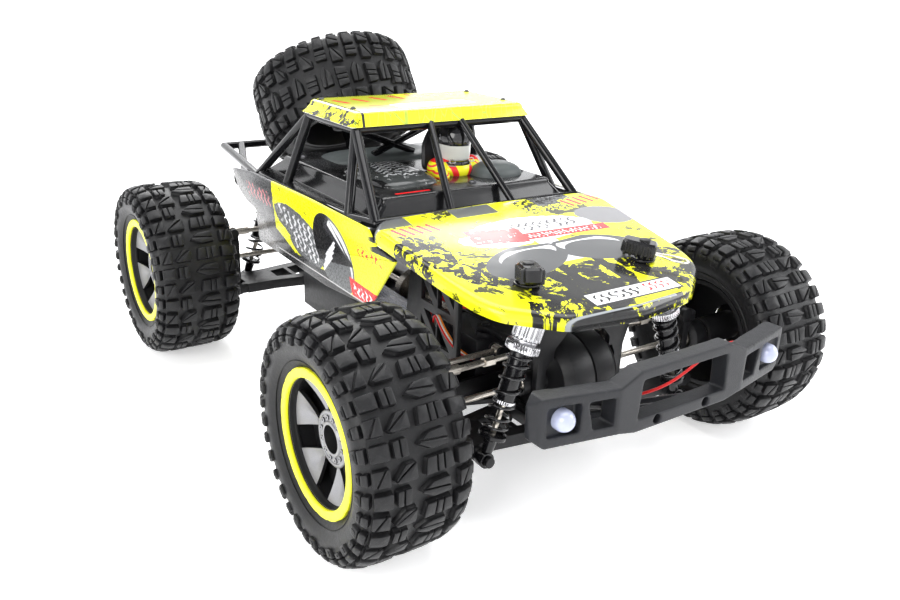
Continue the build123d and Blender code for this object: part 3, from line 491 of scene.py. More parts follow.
def draw_roof(s, x, y):
    """Roof print: yellow with a hatch of red bars, a white field and dark rims at the front and side."""
    a, b = s.ragged(x, y, 8.0, 2.0, 5.0)
    edge = s.size(x)
    olive = s.mul(s.mul(s.below(x, -3.0, 0.5), s.above(x, -57.0, 0.5)), s.above(y, 2.0, 0.5))
    rim = s.mul(s.near(edge, 58.6, 0.9), s.below(x, 0.0, 1.0))
    side = s.mul(s.mul(s.above(edge, 60.3, 0.3), s.below(x, 0.0)), speckle(s, y, x, 9.0, 0.52, 3.0))
    front = s.mul(s.below(y, -1.8), s.mesh_lines(7.0, x, y, 0.018, 0.02))
    dark = s.mul(s.bar(a, b, (-40.0, 2.5), (34.0, 3.4), 0.0), s.below(x, -14.0))
    return layer(s, YELLOW, (s.mul(olive, 0.7), (0.3, 0.33, 0.015)),
                 (s.bar(a, b, (2.0, 15.0), (58.0, 15.0), 4.0), WHITE),
                 (s.hashes(x, y, (-50.0, 41.0), (14.6, 2.2), (3.4, 15.0), 18.0, 7), RED),
                 (s.bar(x, y, (-26.0, 14.0), (34.0, 3.0), -20.0), RED),
                 (s.bar(x, y, (20.0, 8.0), (70.0, 0.9), -3.0), RED),
                 (dark, BLACK), (rim, BLACK), (side, BLACK), (s.mul(front, 0.7), (0.12, 0.3, 0.08)))


def draw_deck(s, x, y):
    """Cockpit deck print: black with a fine mesh, grey patches and one red line."""
    a, b = s.ragged(x, y, 6.0, 1.4, 5.0)
    mesh = s.mul(s.mesh_lines(1.7, x, y, 0.1, 0.06), s.above(s.noise(16.0), 0.5, 0.1))
    patch = s.bar(a, b, (-32.0, 8.0), (38.0, 52.0), 14.0)
    ink = s.most(scribble(s, y, x, (14.0, -30.0), (40.0, 22.0), 10.0, 5.0, 2.0),
                 s.mul(patch, speckle(s, x, y, 5.0, 0.62, 4.0)))
    rear = s.mul(s.above(y, 48.0, 1.0), s.below(y, 78.0, 1.0))
    wall = s.below(s.axes()[2], 142.3, 0.2)
    return layer(s, (0.01, 0.01, 0.011), (s.mul(mesh, 0.5), (0.09, 0.09, 0.09)),
                 (s.mul(rear, 0.5), (0.06, 0.063, 0.066)), (s.mul(patch, 0.8), (0.055, 0.06, 0.06)),
                 (ink, (0.6, 0.61, 0.62)), (s.bar(x, y, (-38.0, -27.5), (34.0, 5.0), 0.0), BLACK),
                 (s.bar(x, y, (-39.0, -28.0), (24.0, 2.2), 0.0), RED), (wall, (0.006, 0.006, 0.007)))


def draw_suit(s, x, z):
    """Driver's suit: yellow with red harness straps, grey buckles and red arm stripes."""
    side = s.size(s.sub(x, DRIVER[0]))
    straps = s.near(s.add(side, s.mul(s.sub(z, 147.0), -0.35)), 6.2, 1.9, 0.2)
    buckle = s.mul(straps, s.near(z, 150.2, 1.1))
    cut_line = s.mul(buckle, s.near(z, 150.2, 0.45))
    arms = s.mul(s.above(side, 11.8, 0.2), s.above(s.wave(s.mul(s.add(z, s.mul(side, 0.6)), 2.4)), 0.35, 0.2))
    yoke = s.mul(s.above(side, 9.5, 0.2), s.above(z, 151.6, 0.2))
    return layer(s, (0.9, 0.86, 0.01), (arms, RED), (yoke, RED), (straps, RED), (buckle, (0.3, 0.3, 0.3)),
                 (cut_line, RED))


def wheel_grey():
    """Gunmetal with a fine metal flake."""
    s = Shader("rim_satin", rough=0.32, metal=0.35)
    s.set("Base Color", s.mix(s.noise(0.5, 2.0), (0.2, 0.2, 0.215), (0.29, 0.29, 0.305)))
    s.set("Roughness", s.span(s.noise(4.0, 3.0), 0.26, 0.42))
    s.bump(s.noise(0.7, 2.0), 0.03)
    return s.material


def bead_yellow():
    s = Shader("bead_ring", rough=0.4)
    s.set("Base Color", s.mix(s.noise(6.0, 4.0), (0.86, 0.84, 0.01), (0.95, 0.93, 0.03)))
    s.set("Subsurface Weight", 0.1)
    s.set("Roughness", s.span(s.noise(2.0, 4.0), 0.33, 0.5))
    s.bump(s.noise(1.0, 3.0), 0.04)
    return s.material


def lens():
    s = Shader("lamp_lens", (0.4, 0.43, 0.56), rough=0.12, coat=0.5)
    s.set("Subsurface Weight", 0.35)
    s.set("Subsurface Radius", (0.003, 0.003, 0.004))
    s.set("Base Color", s.mix(s.noise(3.0), (0.33, 0.36, 0.5), (0.45, 0.48, 0.62)))
    s.set("Roughness", s.span(s.noise(1.5), 0.08, 0.2))
    return s.material


M = {
    "tread": rubber("tread_rubber", (0.0065, 0.0065, 0.0072)),
    "wheel": wheel_grey(),
    # black for the rim's barrel, also used as painted shade on the rim's inward faces, its windows and its
    # bore
    "barrel": plastic("rim_black_and_painted_shade", (0.007, 0.007, 0.008), 0.45, 0.6, 0.04, 0.05),
    "bead": bead_yellow(),
    "nylon": plastic("chassis_nylon", (0.007, 0.007, 0.008), 0.42, 0.5, 0.05, 0.06),
    "bumper": plastic("bumper_moulding", (0.012, 0.0126, 0.015), 0.42, 0.7, 0.12, 0.08),
    "case": plastic("case_plastic", (0.016, 0.016, 0.018), 0.35, 0.9, 0.04),
    "steel": metal("turned_steel", (0.56, 0.52, 0.46), 0.26, (1.0, 0.15, 1.0)),
    "silver": metal("silver_anodised", (0.62, 0.62, 0.64), 0.2),
    "can": metal("motor_can", (0.42, 0.42, 0.43), 0.3, (0.2, 1.0, 0.2)),
    "shock_black": gloss("shock_black", (0.006, 0.006, 0.007), 0.2),
    "spring": gloss("spring_wire", (0.008, 0.008, 0.009), 0.14, 0.8),
    "cage": gloss("cage_gloss", (0.004, 0.004, 0.005), 0.1),
    "screw": metal("screw_black", (0.09, 0.09, 0.095), 0.34),
    "clip": metal("clip_wire", (0.62, 0.6, 0.57), 0.25),
    "lens": lens(),
    "hood": printed("hood_print", draw_hood, "xy"),
    "side": printed("side_print", draw_side, "yz", 0.24, 0.02, 0.05),
    "roof": printed("roof_print", draw_roof, "xy"),
    "deck": printed("deck_print", draw_deck, "xy", 0.14, 0.004),
    "cut_edge": plastic("cut_edge", (0.74, 0.75, 0.76), 0.4, 0.6, 0.05),
    "under": plastic("sheet_underside", (0.3, 0.31, 0.3), 0.3, 1.0, 0.03),
    "suit": printed("driver_suit", draw_suit, "xz", 0.3),
    "helmet": gloss("helmet_black", (0.006, 0.006, 0.007), 0.08, 0.8),
    "visor": plastic("visor_grey", (0.52, 0.53, 0.5), 0.3, 1.2, 0.03, 0.1, 0.3),
    "seat": plastic("seat_grey", (0.07, 0.08, 0.08), 0.4, 0.9, 0.05),
    "wrap": gloss("battery_wrap", (0.02, 0.03, 0.09), 0.25),
    "wire_red": plastic("wire_red", (0.62, 0.012, 0.012), 0.42, 0.8, 0.03, 0.05),
    "wire_black": plastic("wire_black", (0.015, 0.015, 0.015), 0.42, 0.8, 0.03, 0.05),
    "wire_white": plastic("wire_white", (0.7, 0.68, 0.62), 0.42, 0.8, 0.03, 0.05),
    "wire_orange": plastic("wire_orange", (0.75, 0.2, 0.01), 0.42, 0.8, 0.03, 0.05),
}


# ---- mesh tools ----------------------------------------------------------------------------------
def smooth(mesh, sharp):
    """Smooth shading, with edges bent more than sharp degrees left crisp."""
    mesh.shade_smooth()
    mesh.set_sharp_from_angle(angle=math.radians(sharp))


def mesh_from(name, points, faces, sharp=40.0):
    """Mesh from points in millimetres, its doubled points merged and its faces turned outwards."""
    mesh = bpy.data.meshes.new(name)
    mesh.from_pydata([Vector(p) * MM for p in points], [], faces)
    bm = bmesh.new()
    bm.from_mesh(mesh)
    bmesh.ops.remove_doubles(bm, verts=bm.verts, dist=0.002 * MM)
    bmesh.ops.recalc_face_normals(bm, faces=bm.faces)
    bm.to_mesh(mesh)
    bm.free()
    smooth(mesh, sharp)
    return mesh


def bands(n, levels, start=0):
    """Faces between stacked rings of n points each."""
    faces = []
    for low in range(start, start + (levels - 1) * n, n):
        for i in range(n):
            j = (i + 1) % n
            faces.append([low + i, low + j, low + n + j, low + n + i])
    return faces


def joined(name, parts, sharp=40.0):
    """A list of (points, faces) pairs made into one mesh."""
    points, faces = [], []
    for more, loops in parts:
        shift = len(points)
        points += more
        faces += [[i + shift for i in loop] for loop in loops]
    return mesh_from(name, points, faces, sharp)


def moved(part, matrix):
    return [tuple(matrix @ Vector(p)) for p in part[0]], part[1]


def rounded(points, radius, steps=3, closed=True):
    """The outline with its corners rounded off."""
    out, n = [], len(points)
    for i, p in enumerate(points):
        if not closed and i in (0, n - 1):
            out.append(tuple(p))
            continue
        here = Vector(p)
        back, on = Vector(points[i - 1]) - here, Vector(points[(i + 1) % n]) - here
        cut = min(radius, back.length * 0.45, on.length * 0.45)
        start, end = here + back.normalized() * cut, here + on.normalized() * cut
        for k in range(steps + 1):
            t = k / steps
            out.append(tuple(start * (1 - t) ** 2 + here * (2 * t * (1 - t)) + end * t * t))
    return out


def lathe(profile, segments=72, closed=True, wobble=None):
    """Surface turned about the X axis from (x, radius) points; wobble(x, r, angle) may change the radius."""
    points, faces, n = [], [], len(profile)
    for i in range(segments):
        a = 2 * math.pi * i / segments
        for x, r in profile:
            radius = wobble(x, r, a) if wobble else r
            points.append((x, radius * math.cos(a), radius * math.sin(a)))
    last = n if closed else n - 1
    for i in range(segments):
        j = (i + 1) % segments
        for k in range(last):
            m = (k + 1) % n
            faces.append([i * n + k, i * n + m, j * n + m, j * n + k])
    return points, faces


def prism(outline, low, high, bevel=0.0):
    """Solid between two heights along Z, with its rims broken by bevel."""
    n = len(outline)
    inner = offset(outline, bevel) if bevel else outline
    levels = [(outline, low + bevel), (outline, high - bevel)]
    if bevel:
        levels = [(inner, low)] + levels + [(inner, high)]
    points = [(x, y, z) for ring, z in levels for x, y in ring]
    faces = [list(range(n))[::-1], [len(points) - n + i for i in range(n)]]
    return points, faces + bands(n, len(levels))


def area(outline):
    return 0.5 * sum(a[0] * b[1] - b[0] * a[1] for a, b in zip(outline, outline[1:] + outline[:1]))


def offset(outline, distance):
    """Outline moved inwards by distance, corner by corner."""
    turn = 1.0 if area(outline) > 0 else -1.0
    out, n = [], len(outline)
    for i in range(n):
        p, a, b = Vector(outline[i]), Vector(outline[i - 1]), Vector(outline[(i + 1) % n])
        d0, d1 = (p - a).normalized(), (b - p).normalized()
        n0, n1 = Vector((-d0.y, d0.x)) * turn, Vector((-d1.y, d1.x)) * turn
        middle = n0 + n1
        scale = distance / max(0.35, middle.length_squared / 2)
        out.append(tuple(p + middle * scale))
    return out


def tube(path, radius, sides):
    """Round tube along a list of points, with even twist and closed ends."""
    points, path = [], [Vector(p) for p in path]
    normal = None
    for i, p in enumerate(path):
        way = (path[min(i + 1, len(path) - 1)] - path[max(i - 1, 0)]).normalized()
        if normal is None:
            normal = way.orthogonal().normalized()
        normal = (normal - way * normal.dot(way)).normalized()
        side = way.cross(normal)
        for k in range(sides):
            a = 2 * math.pi * k / sides
            points.append(tuple(p + (normal * math.cos(a) + side * math.sin(a)) * radius))
    ends = [list(range(sides))[::-1], [(len(path) - 1) * sides + k for k in range(sides)]]
    return points, bands(sides, len(path)) + ends


def linked(name, data):
    """An object in the scene."""
    obj = bpy.data.objects.new(name, data)
    bpy.context.scene.collection.objects.link(obj)
    return obj


def attach(obj, body, stands_for=()):
    """Let a piece ride on a CAD body and the CAD nodes it stands for."""
    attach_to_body(obj, body)
    if stands_for:
        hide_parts(*stands_for)
    return obj


def piece(name, mesh, body, look=None, stands_for=()):
    """A piece from a mesh, which takes the look unless it has its own materials."""
    if not mesh.materials:
        mesh.materials.append(M[look])
    return attach(linked(name, mesh), body, stands_for)


def final(obj, look=None, sharp=None):
    """Apply an object's modifiers, and shade the result."""
    graph = bpy.context.evaluated_depsgraph_get()
    mesh = bpy.data.meshes.new_from_object(obj.evaluated_get(graph))
    obj.modifiers.clear()
    obj.data = mesh
    if sharp is None:
        mesh.shade_smooth()
    else:
        smooth(mesh, sharp)
    if look:
        mesh.materials.clear()
        mesh.materials.append(M[look])


def fused(obj, voxel, passes):
    """Modifiers that melt an object's solids into one smooth skin."""
    remesh = obj.modifiers.new("fuse", "REMESH")
    remesh.mode, remesh.voxel_size = "VOXEL", voxel * MM
    melt = obj.modifiers.new("melt", "SMOOTH")
    melt.factor, melt.iterations = 0.5, passes


BREAK_ANGLE = 34.0           # a CAD edge bent more than this, in degrees, gets a small round


def softened(node, look, width=0.3):
    """A CAD node's shape with its edges broken by a small round, in place of the sharp one."""
    source = NODES[node]
    mesh = source.data.copy()
    if "custom_normal" in mesh.attributes:
        mesh.attributes.remove(mesh.attributes["custom_normal"])
    bm = bmesh.new()
    bm.from_mesh(mesh)
    bmesh.ops.remove_doubles(bm, verts=bm.verts, dist=0.004 * MM)
    bmesh.ops.dissolve_limit(bm, angle_limit=math.radians(1.5), verts=bm.verts, edges=bm.edges)
    bm.to_mesh(mesh)
    bm.free()
    obj = linked(node + "_soft", mesh)
    bevel = obj.modifiers.new("bevel", "BEVEL")
    bevel.width, bevel.segments = width * MM, 2
    bevel.limit_method, bevel.angle_limit = "ANGLE", math.radians(BREAK_ANGLE)
    final(obj, look, BREAK_ANGLE)
    attach(obj, source["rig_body"], (node,))


def paint(node, look):
    """Keep a CAD node as it is and give it a material."""
    mesh = NODES[node].data
    mesh.materials.clear()
    mesh.materials.append(M[look])
    smooth(mesh, 32.0)


# ---- wheels, in their own frame: X outboard, origin at the tyre's centre -------------------------
TYRE_R, TREAD_ROWS = 60.0, 34
CROWN = [(0.0, TYRE_R), (12.0, TYRE_R), (20.0, 59.4), (25.5, 57.3), (28.2, 53.5), (29.0, 49.0), (28.7, 45.5)]
BLOCK_DEPTH, BLOCK_HALF = 3.3, 3.95      # a block's height, and half its length round the tyre


def crown_curve():
    """Tread surface sampled by arc length, from the centre plane out and round the shoulder."""
    dense = rounded(CROWN, 4.0, 5, closed=False)
    lengths = [0.0]
    for a, b in zip(dense, dense[1:]):
        lengths.append(lengths[-1] + math.dist(a, b))
    return dense, lengths


CROWN_LINE, CROWN_LENGTH = crown_curve()


def on_crown(u, v, depth):
    """Point on the tyre: u across the tread from the centre plane, v round it, depth below the block tops."""
    side, u = (1 if u >= 0 else -1), abs(u)
    i = max(k for k in range(len(CROWN_LENGTH) - 1) if CROWN_LENGTH[k] <= u or k == 0)
    a, b = Vector(CROWN_LINE[i]), Vector(CROWN_LINE[i + 1])
    t = (u - CROWN_LENGTH[i]) / (CROWN_LENGTH[i + 1] - CROWN_LENGTH[i])
    here, way = a.lerp(b, t), (b - a).normalized()
    here -= Vector((-way.y, way.x)) * depth if way.x > 0 or way.y < 0 else Vector((0, 0))
    angle = v / TYRE_R
    return (side * here.x, here.y * math.cos(angle), here.y * math.sin(angle))


def clip(poly, point, normal):
    """The part of a convex outline on the normal's side of a line."""
    out = []
    for a, b in zip(poly, poly[1:] + poly[:1]):
        da = (a[0] - point[0]) * normal[0] + (a[1] - point[1]) * normal[1]
        db = (b[0] - point[0]) * normal[0] + (b[1] - point[1]) * normal[1]
        if da >= 0:
            out.append(a)
        if da * db < 0:
            t = da / (da - db)
            out.append((a[0] + (b[0] - a[0]) * t, a[1] + (b[1] - a[1]) * t))
    return out


def split(outline, sipes, width=0.75):
    """Cut a convex outline along lines, each given by two points, leaving a slit."""
    pieces = [outline]
    for p, q in sipes:
        along = Vector((q[0] - p[0], q[1] - p[1])).normalized()
        across = Vector((-along.y, along.x))
        halves = []
        for poly in pieces:
            for sign in (1, -1):
                edge = (p[0] + across.x * sign * width / 2, p[1] + across.y * sign * width / 2)
                half = clip(poly, edge, (across.x * sign, across.y * sign))
                if len(half) > 2 and abs(area(half)) > 1.0:
                    halves.append(half)
        pieces = halves
    return pieces


def dense_outline(outline, step=2.2):
    """Add points so that long sides follow the tyre's curve."""
    out = []
    for a, b in zip(outline, outline[1:] + outline[:1]):
        n = max(1, math.ceil(math.dist(a, b) / step))
        out += [(a[0] + (b[0] - a[0]) * k / n, a[1] + (b[1] - a[1]) * k / n) for k in range(n)]
    return out


def tread_block(outline, row_v, sipes=(), depth=BLOCK_DEPTH, flare=0.55):
    """Rubber block: a flared foot and a chamfered top, slit by its sipes."""
    if area(outline) < 0:
        outline = outline[::-1]
    parts = []
    sipe_floor = depth * 0.45
    soft = rounded(outline, 0.7, 2)
    stages = [(offset(soft, -flare), depth + 0.5), (offset(soft, -0.12), depth * 0.5)]
    tops = split(soft, sipes)
    if len(tops) > 1:
        parts.append(stage_solid(stages + [(soft, sipe_floor)], row_v))
        stages = [(None, sipe_floor + 0.3)]
    for top in tops:
        top = top if area(top) > 0 else top[::-1]
        rings = [(top if ring is None else ring, d) for ring, d in stages]
        rings += [(top, 0.5), (offset(top, 0.14), 0.16), (offset(top, 0.5), 0.0)]
        parts.append(stage_solid(rings, row_v))
    return parts


def stage_solid(rings, row_v):
    """Loops of equal length stacked from deep to shallow, wrapped on the tyre and closed."""
    n = len(rings[-1][0])
    points = [on_crown(u, v + row_v, d) for ring, d in rings for u, v in ring]
    faces = [list(range(n))[::-1]] + bands(n, len(rings))
    top = (len(rings) - 1) * n
    middle = rings[-1][0]
    centre = (sum(p[0] for p in middle) / n, sum(p[1] for p in middle) / n)
    points.append(on_crown(centre[0], centre[1] + row_v, rings[-1][1] - 0.08))
    for i in range(n):
        faces.append([top + i, top + (i + 1) % n, len(points) - 1])
    return points, faces


def shoulder_lug(side, row_v, long):
    """Lug that wraps over the shoulder, with a raised panel on its side face."""
    reach = 36.6 if long else 34.6
    half = 3.5 if long else 2.9
    parts = []
    for low, high, depth in ((27.4, 31.2, 2.9), (31.9, reach, 2.3)):
        narrow = half * 0.92
        outline = [(side * low, -half), (side * high, -narrow), (side * high, narrow), (side * low, half)]
        parts += tread_block(outline[::side], row_v, depth=depth, flare=0.35)
    low, high, across = side * 32.9, side * (reach - 1.0), half * 0.45
    panel = rounded([(low, -across), (high, -across), (high, across), (low, across)][::side], 0.4, 2)
    parts.append(stage_solid([(panel, d) for d in (0.3, -0.28)], row_v))
    return parts


def tread_rows():
    """Two kinds of row, as (outline, sipes) pairs: two blocks on one half, then two on the other."""
    h = BLOCK_HALF
    square = [(17.3, -h), (25.6, -h + 0.2), (25.6, h - 0.2), (17.3, h)]
    plain = [(16.4, -h + 0.3), (25.2, -h + 0.5), (25.2, h - 0.5), (16.4, h - 0.3)]
    narrow = [(7.6, -h), (14.4, -h + 0.3), (14.4, h - 0.3), (7.6, h)]
    dee = [(4.6, -h + 0.2), (13.4, -h), (15.4, -h + 1.6), (9.6, h), (4.6, h)]
    leaf = [(-2.6, -0.6), (3.4, -h), (12.4, -h + 0.4), (11.4, h), (3.0, h - 0.6)]
    wide = [(-0.6, -h), (14.2, -h + 0.6), (13.0, h), (0.6, h - 0.2)]
    near = [(square, [((19.2, h), (23.8, -h))]), (dee, [((7.2, 2.4), (14.6, -2.4))]),
            (wide, [((5.4, -h), (5.6, h)), ((9.0, -h), (9.0, h))]), (plain, [])]
    far = [(plain, []), (narrow, [((11.2, -h), (11.2, h))]), (leaf, [((1.2, 0.4), (11.0, -0.6))]),
           (square, [((19.0, -h), (22.6, h))])]
    return near, far


def tyre_mesh():
    """Carcass turned from a profile, then rows of blocks of two kinds, one the mirror of the other."""
    outer = [(22.2, 34.3), (22.6, 37.0), (25.2, 40.2), (27.4, 44.2), (27.6, 48.6), (26.6, 51.8), (24.0, 54.4),
             (18.8, 56.2), (10.0, 56.8)]
    inner = [(18.0, 34.3), (18.0, 38.5), (23.0, 45.0), (23.6, 50.0), (20.0, 53.0), (10.0, 54.0)]
    loop = outer + [(-x, r) for x, r in reversed(outer)] + [(-x, r) for x, r in inner] + list(reversed(inner))
    ribs = [lathe(rounded([(x - 0.5, r), (x, r + 0.5), (x + 0.5, r)], 0.2, 2), 144, closed=False)
            for x, r in ((25.0, 39.6), (-25.0, 39.6))]
    parts = [lathe(rounded(loop, 1.6, 3), 144)] + ribs
    near, far = tread_rows()
    for row in range(TREAD_ROWS):
        v = 2 * math.pi * TYRE_R / TREAD_ROWS * row
        for index, (outline, sipes) in enumerate(near if row % 2 else far):
            sign = 1 if index < 2 else -1
            shifted = [(sign * u, w) for u, w in outline][::sign]
            cuts = [[(sign * u, w) for u, w in sipe] for sipe in sipes]
            parts += tread_block(shifted if sipes else dense_outline(shifted), v, cuts)
        parts += shoulder_lug(1, v, row % 2 == 0) + shoulder_lug(-1, v, row % 2 == 1)
    return joined("tyre_tread", parts, 32.0)


def spoke_part(turn):
    """Wedge spoke between two windows: creased along its middle, dished towards the hub."""
    half_window, r_in, r_out = 5.9, 13.4, 31.6
    points, faces, rows, cols = [], [], 9, 8
    for back in (0, 1):
        for i in range(rows):
            r = r_in + (r_out - r_in) * i / (rows - 1)
            edge = math.asin(half_window / r)
            share = (r - r_in) / (r_out - r_in)
            for k in range(cols + 1):
                t = k / cols
                a = turn + edge + (math.pi / 3 - 2 * edge) * t
                crest = 1 - abs(2 * t - 1)
                ridge = 1.5 * crest * math.sin(math.pi * min(1.0, share * 1.15))
                x = 14.2 + 4.4 * share ** 1.6 - ridge - back * (1.6 + 0.8 * share)
                points.append((x, r * math.cos(a), r * math.sin(a)))
    count = rows * (cols + 1)
    for i in range(rows - 1):
        for k in range(cols):
            a = i * (cols + 1) + k
            quad = [a, a + 1, a + cols + 2, a + cols + 1]
            faces += [quad, [q + count for q in quad[::-1]]]
    border = list(range(cols + 1)) + [i * (cols + 1) + cols for i in range(1, rows)]
    border += [(rows - 1) * (cols + 1) + k for k in range(cols - 1, -1, -1)]
    border += [i * (cols + 1) for i in range(rows - 2, 0, -1)]
    for a, b in zip(border, border[1:] + border[:1]):
        faces.append([a, a + count, b + count, b])
    return points, faces


SCREW_RING = 10.4            # radius of the ring of small screws on the hub's face


def rim_mesh():
    """Barrel, six spokes, and a hub face with a deep bore, small screws and pits. Faces that face outwards
    are grey; the rest, with the disc behind the windows, are black as painted shade in the windows and bore.
    """
    barrel = rounded([(-22, 31.4), (-22, 34.0), (21.9, 34.0), (21.9, 31.4), (19.6, 31.2), (18.8, 30.9),
                      (17.6, 30.9), (17.0, 31.4)], 0.2, 2)
    hub = rounded([(-20.5, 4.2), (-20.5, 9.0), (7.0, 9.0), (11.0, 13.6), (14.2, 14.2), (15.0, 13.6),
                   (15.2, 12.2), (14.6, 11.9), (14.6, 8.9), (15.5, 8.4), (15.5, 6.9), (4.0, 6.6),
                   (3.6, 4.2)], 0.3, 2)
    # flat disc behind the spokes, coloured black: a dark sheet standing in for the shade seen through the
    # windows
    window_shade_disc = rounded([(9.0, 13.0), (9.0, 31.5), (9.8, 31.5), (9.8, 13.0)], 0.1, 1)
    parts = [lathe(barrel, 120), lathe(hub, 72), lathe(window_shade_disc, 72)]
    parts += [spoke_part(math.pi / 3 * i) for i in range(6)]
    head = [(13.9, 0.0), (13.9, 1.25), (15.1, 1.25), (15.4, 0.95), (15.4, 0.45), (14.9, 0.4), (14.9, 0.0)]
    screw = lathe(rounded(head, 0.12, 2, closed=False), 14, closed=False)
    for i in range(12):
        place = (0, SCREW_RING * math.cos(math.pi / 6 * i), SCREW_RING * math.sin(math.pi / 6 * i))
        parts.append(moved(screw, Matrix.Translation(place)))
    mesh = joined("rim_spoked", parts, 30.0)
    for look in ("wheel", "barrel"):
        mesh.materials.append(M[look])
    for face in mesh.polygons:
        radius = math.hypot(face.center.y, face.center.z) / MM
        # only faces that face outwards are grey; spoke sides and backs, the bore and the disc behind the
        # windows take black as painted shade
        shown = face.center.x > 9.9 * MM and 6.8 < radius < 31.9 and face.normal.x > 0.45
        face.material_index = 0 if shown else 1
    return mesh


def bead_mesh():
    """Bead ring: rounded band whose outer edge has shallow notches."""
    band = [(22.3, 31.4), (22.3, 36.3), (24.0, 36.3), (24.4, 35.6), (24.4, 32.2), (24.0, 31.4)]

    def notched(_, r, a):
        return r - (0.4 * max(0.0, math.cos(20 * a)) ** 6 if r > 35.0 else 0.0)
    return joined("bead_ring", [lathe(rounded(band, 0.45, 3), 240, wobble=notched)], 45.0)


def nut_mesh():
    """Flanged hexagon nut on the axle's threaded end, sunk in the hub's bore."""
    hexagon = [(3.9 * math.cos(math.pi / 3 * i), 3.9 * math.sin(math.pi / 3 * i)) for i in range(6)]
    lay = Matrix.Rotation(math.radians(90), 4, "Y")
    body = moved(prism(rounded(hexagon, 0.4, 2), 3.7, 6.4, 0.3), lay)
    stud = rounded([(4.0, 0.0), (4.0, 2.0), (7.6, 2.0), (8.0, 1.6), (8.0, 0.0)], 0.2, 2, closed=False)
    end = lathe(stud, 24, closed=False)
    return joined("axle_nut", [body, end], 30.0)


def stub_mesh():
    """Stub axle behind the hub: the dogbone's cup, its shoulder and the drive flange."""
    cup = rounded([(-39.0, 4.9), (-39.0, 6.0), (-32.2, 6.0), (-32.0, 3.0), (-25.4, 3.0), (-25.4, 6.5),
                   (-21.2, 6.5), (-21.2, 3.0), (-20.6, 0.2), (-33.2, 0.2), (-33.4, 4.9)], 0.3, 2)
    return joined("stub_axle", [lathe(cup, 36)], 35.0)


def wheel_places():
    """Where each wheel stands and the body it rides on; each is rolled a little further round."""
    places = {}
    for index, corner in enumerate(CORNERS):
        side = SIDES[corner[1]]
        centre = Vector((side * TRACK_HALF, AXLE_Y[corner[0]], AXLE_Z)) * MM
        roll = Matrix.Rotation(math.radians(5.0 + 17.0 * index), 4, "X")
        turn = Matrix.Rotation(0.0 if side > 0 else math.pi, 4, "Z")
        places[corner] = (Matrix.Translation(centre) @ turn @ roll, f"wheel_{corner}")
    lean = Matrix.Rotation(-SPARE_TILT, 4, "X") @ Matrix.Rotation(math.radians(-90), 4, "Y")
    places["spare"] = (Matrix.Translation(Vector(SPARE_C) * MM) @ lean, "body_shell")
    return places


def wheels():
    kinds = {"tyre": (tyre_mesh(), "tyre_rubber", "tread"), "rim": (rim_mesh(), "rim_plastic", "wheel"),
             "bead": (bead_mesh(), "rim_plastic", "bead"), "nut": (nut_mesh(), "steel", "screw"),
             "stub": (stub_mesh(), "steel", "steel")}
    for corner, (matrix, body) in wheel_places().items():
        stands = {"tyre": (f"tyre_{corner}",), "rim": (f"rim_{corner}",)}
        if corner == "spare":
            stands = {"tyre": ("spare_wheel",)}
        for kind, (original, slot, look) in kinds.items():
            if (corner, kind) == ("spare", "stub"):
                continue
            mesh = original.copy()
            mesh.transform(matrix)
            piece(f"{kind}_{corner}_detail", mesh, body, look, stands.get(kind, ()))


# ---- shocks --------------------------------------------------------------------------------------
def shock_frame(corner):
    """Matrix whose X axis runs down the shock from its upper pivot, in millimetres."""
    side, end = SIDES[corner[1]], (-1 if corner[0] == "f" else 1)
    down = Vector((side * math.sin(SHOCK_TILT), 0, -math.cos(SHOCK_TILT)))
    across = Vector((0, 1, 0))
    third = down.cross(across)
    origin = Vector((side * SHOCK_TOP[0], AXLE_Y[corner[0]] + end * SHOCK_Y, SHOCK_TOP[1]))
    return Matrix.Translation(origin) @ Matrix((down, across, third)).transposed().to_4x4()


def flutes(count, depth, low, high):
    """Grooves cut along the outside of a turned part between two distances."""
    def radius(x, r, a):
        return r - depth * (0.5 + 0.5 * math.cos(count * a)) if low < x < high and r > 4 else r
    return radius


def cross_eye(x, outer, width, bore):
    """Rod eye whose bore runs across the shock."""
    half = width / 2
    ring = rounded([(-half, bore), (-half, outer), (half, outer), (half, bore)], 0.4, 2)
    return moved(lathe(ring, 28), Matrix.Translation((x, 0, 0)) @ Matrix.Rotation(math.radians(90), 4, "Z"))


def stations(start, stop, count, radius):
    """Evenly spaced points of one radius, so that flutes have points to bend."""
    return [(start + (stop - start) * i / (count - 1), radius) for i in range(count)]


def shock_cap():
    top = rounded([(3.0, 0.0), (3.0, 4.6), (4.0, 6.6)], 0.3, 2, closed=False)
    profile = top + stations(5.0, 14.0, 12, 7.6) + [(14.5, 7.0), (14.5, 0.0)]
    return [lathe(profile, 144, closed=False, wobble=flutes(18, 0.62, 5.6, 13.4)), cross_eye(0, 4.2, 6, 1.55)]


def shock_collar():
    ring = rounded([(14.6, 4.0), (14.6, 6.5), (15.9, 6.5), (15.9, 4.0)], 0.3, 2)
    collar = [(16.0, 4.5), (16.0, 8.3)] + stations(16.4, 20.3, 6, 8.8) + [(20.8, 8.3), (20.8, 4.5)]
    return [lathe(ring, 60), lathe(collar, 168, wobble=flutes(42, 0.5, 16.6, 20.2))]


def shock_tube():
    return [lathe(rounded([(20.8, 3.9), (20.8, 5.15), (46.9, 5.15), (46.9, 3.9)], 0.25, 2), 56)]


def shock_lip():
    lip = [(46.6, 3.9), (46.6, 5.0)] + stations(46.9, 48.6, 5, 5.7) + [(49.0, 5.2), (49.0, 3.0), (48.2, 1.6)]
    return [lathe(rounded(lip, 0.15, 1), 120, wobble=flutes(30, 0.35, 47.0, 48.5))]


def shock_rod():
    shaft = rounded([(33.0, 0.0), (33.0, 1.5), (72.0, 1.5), (72.0, 0.0)], 0.2, 2, closed=False)
    return [lathe(shaft, 24, closed=False)]


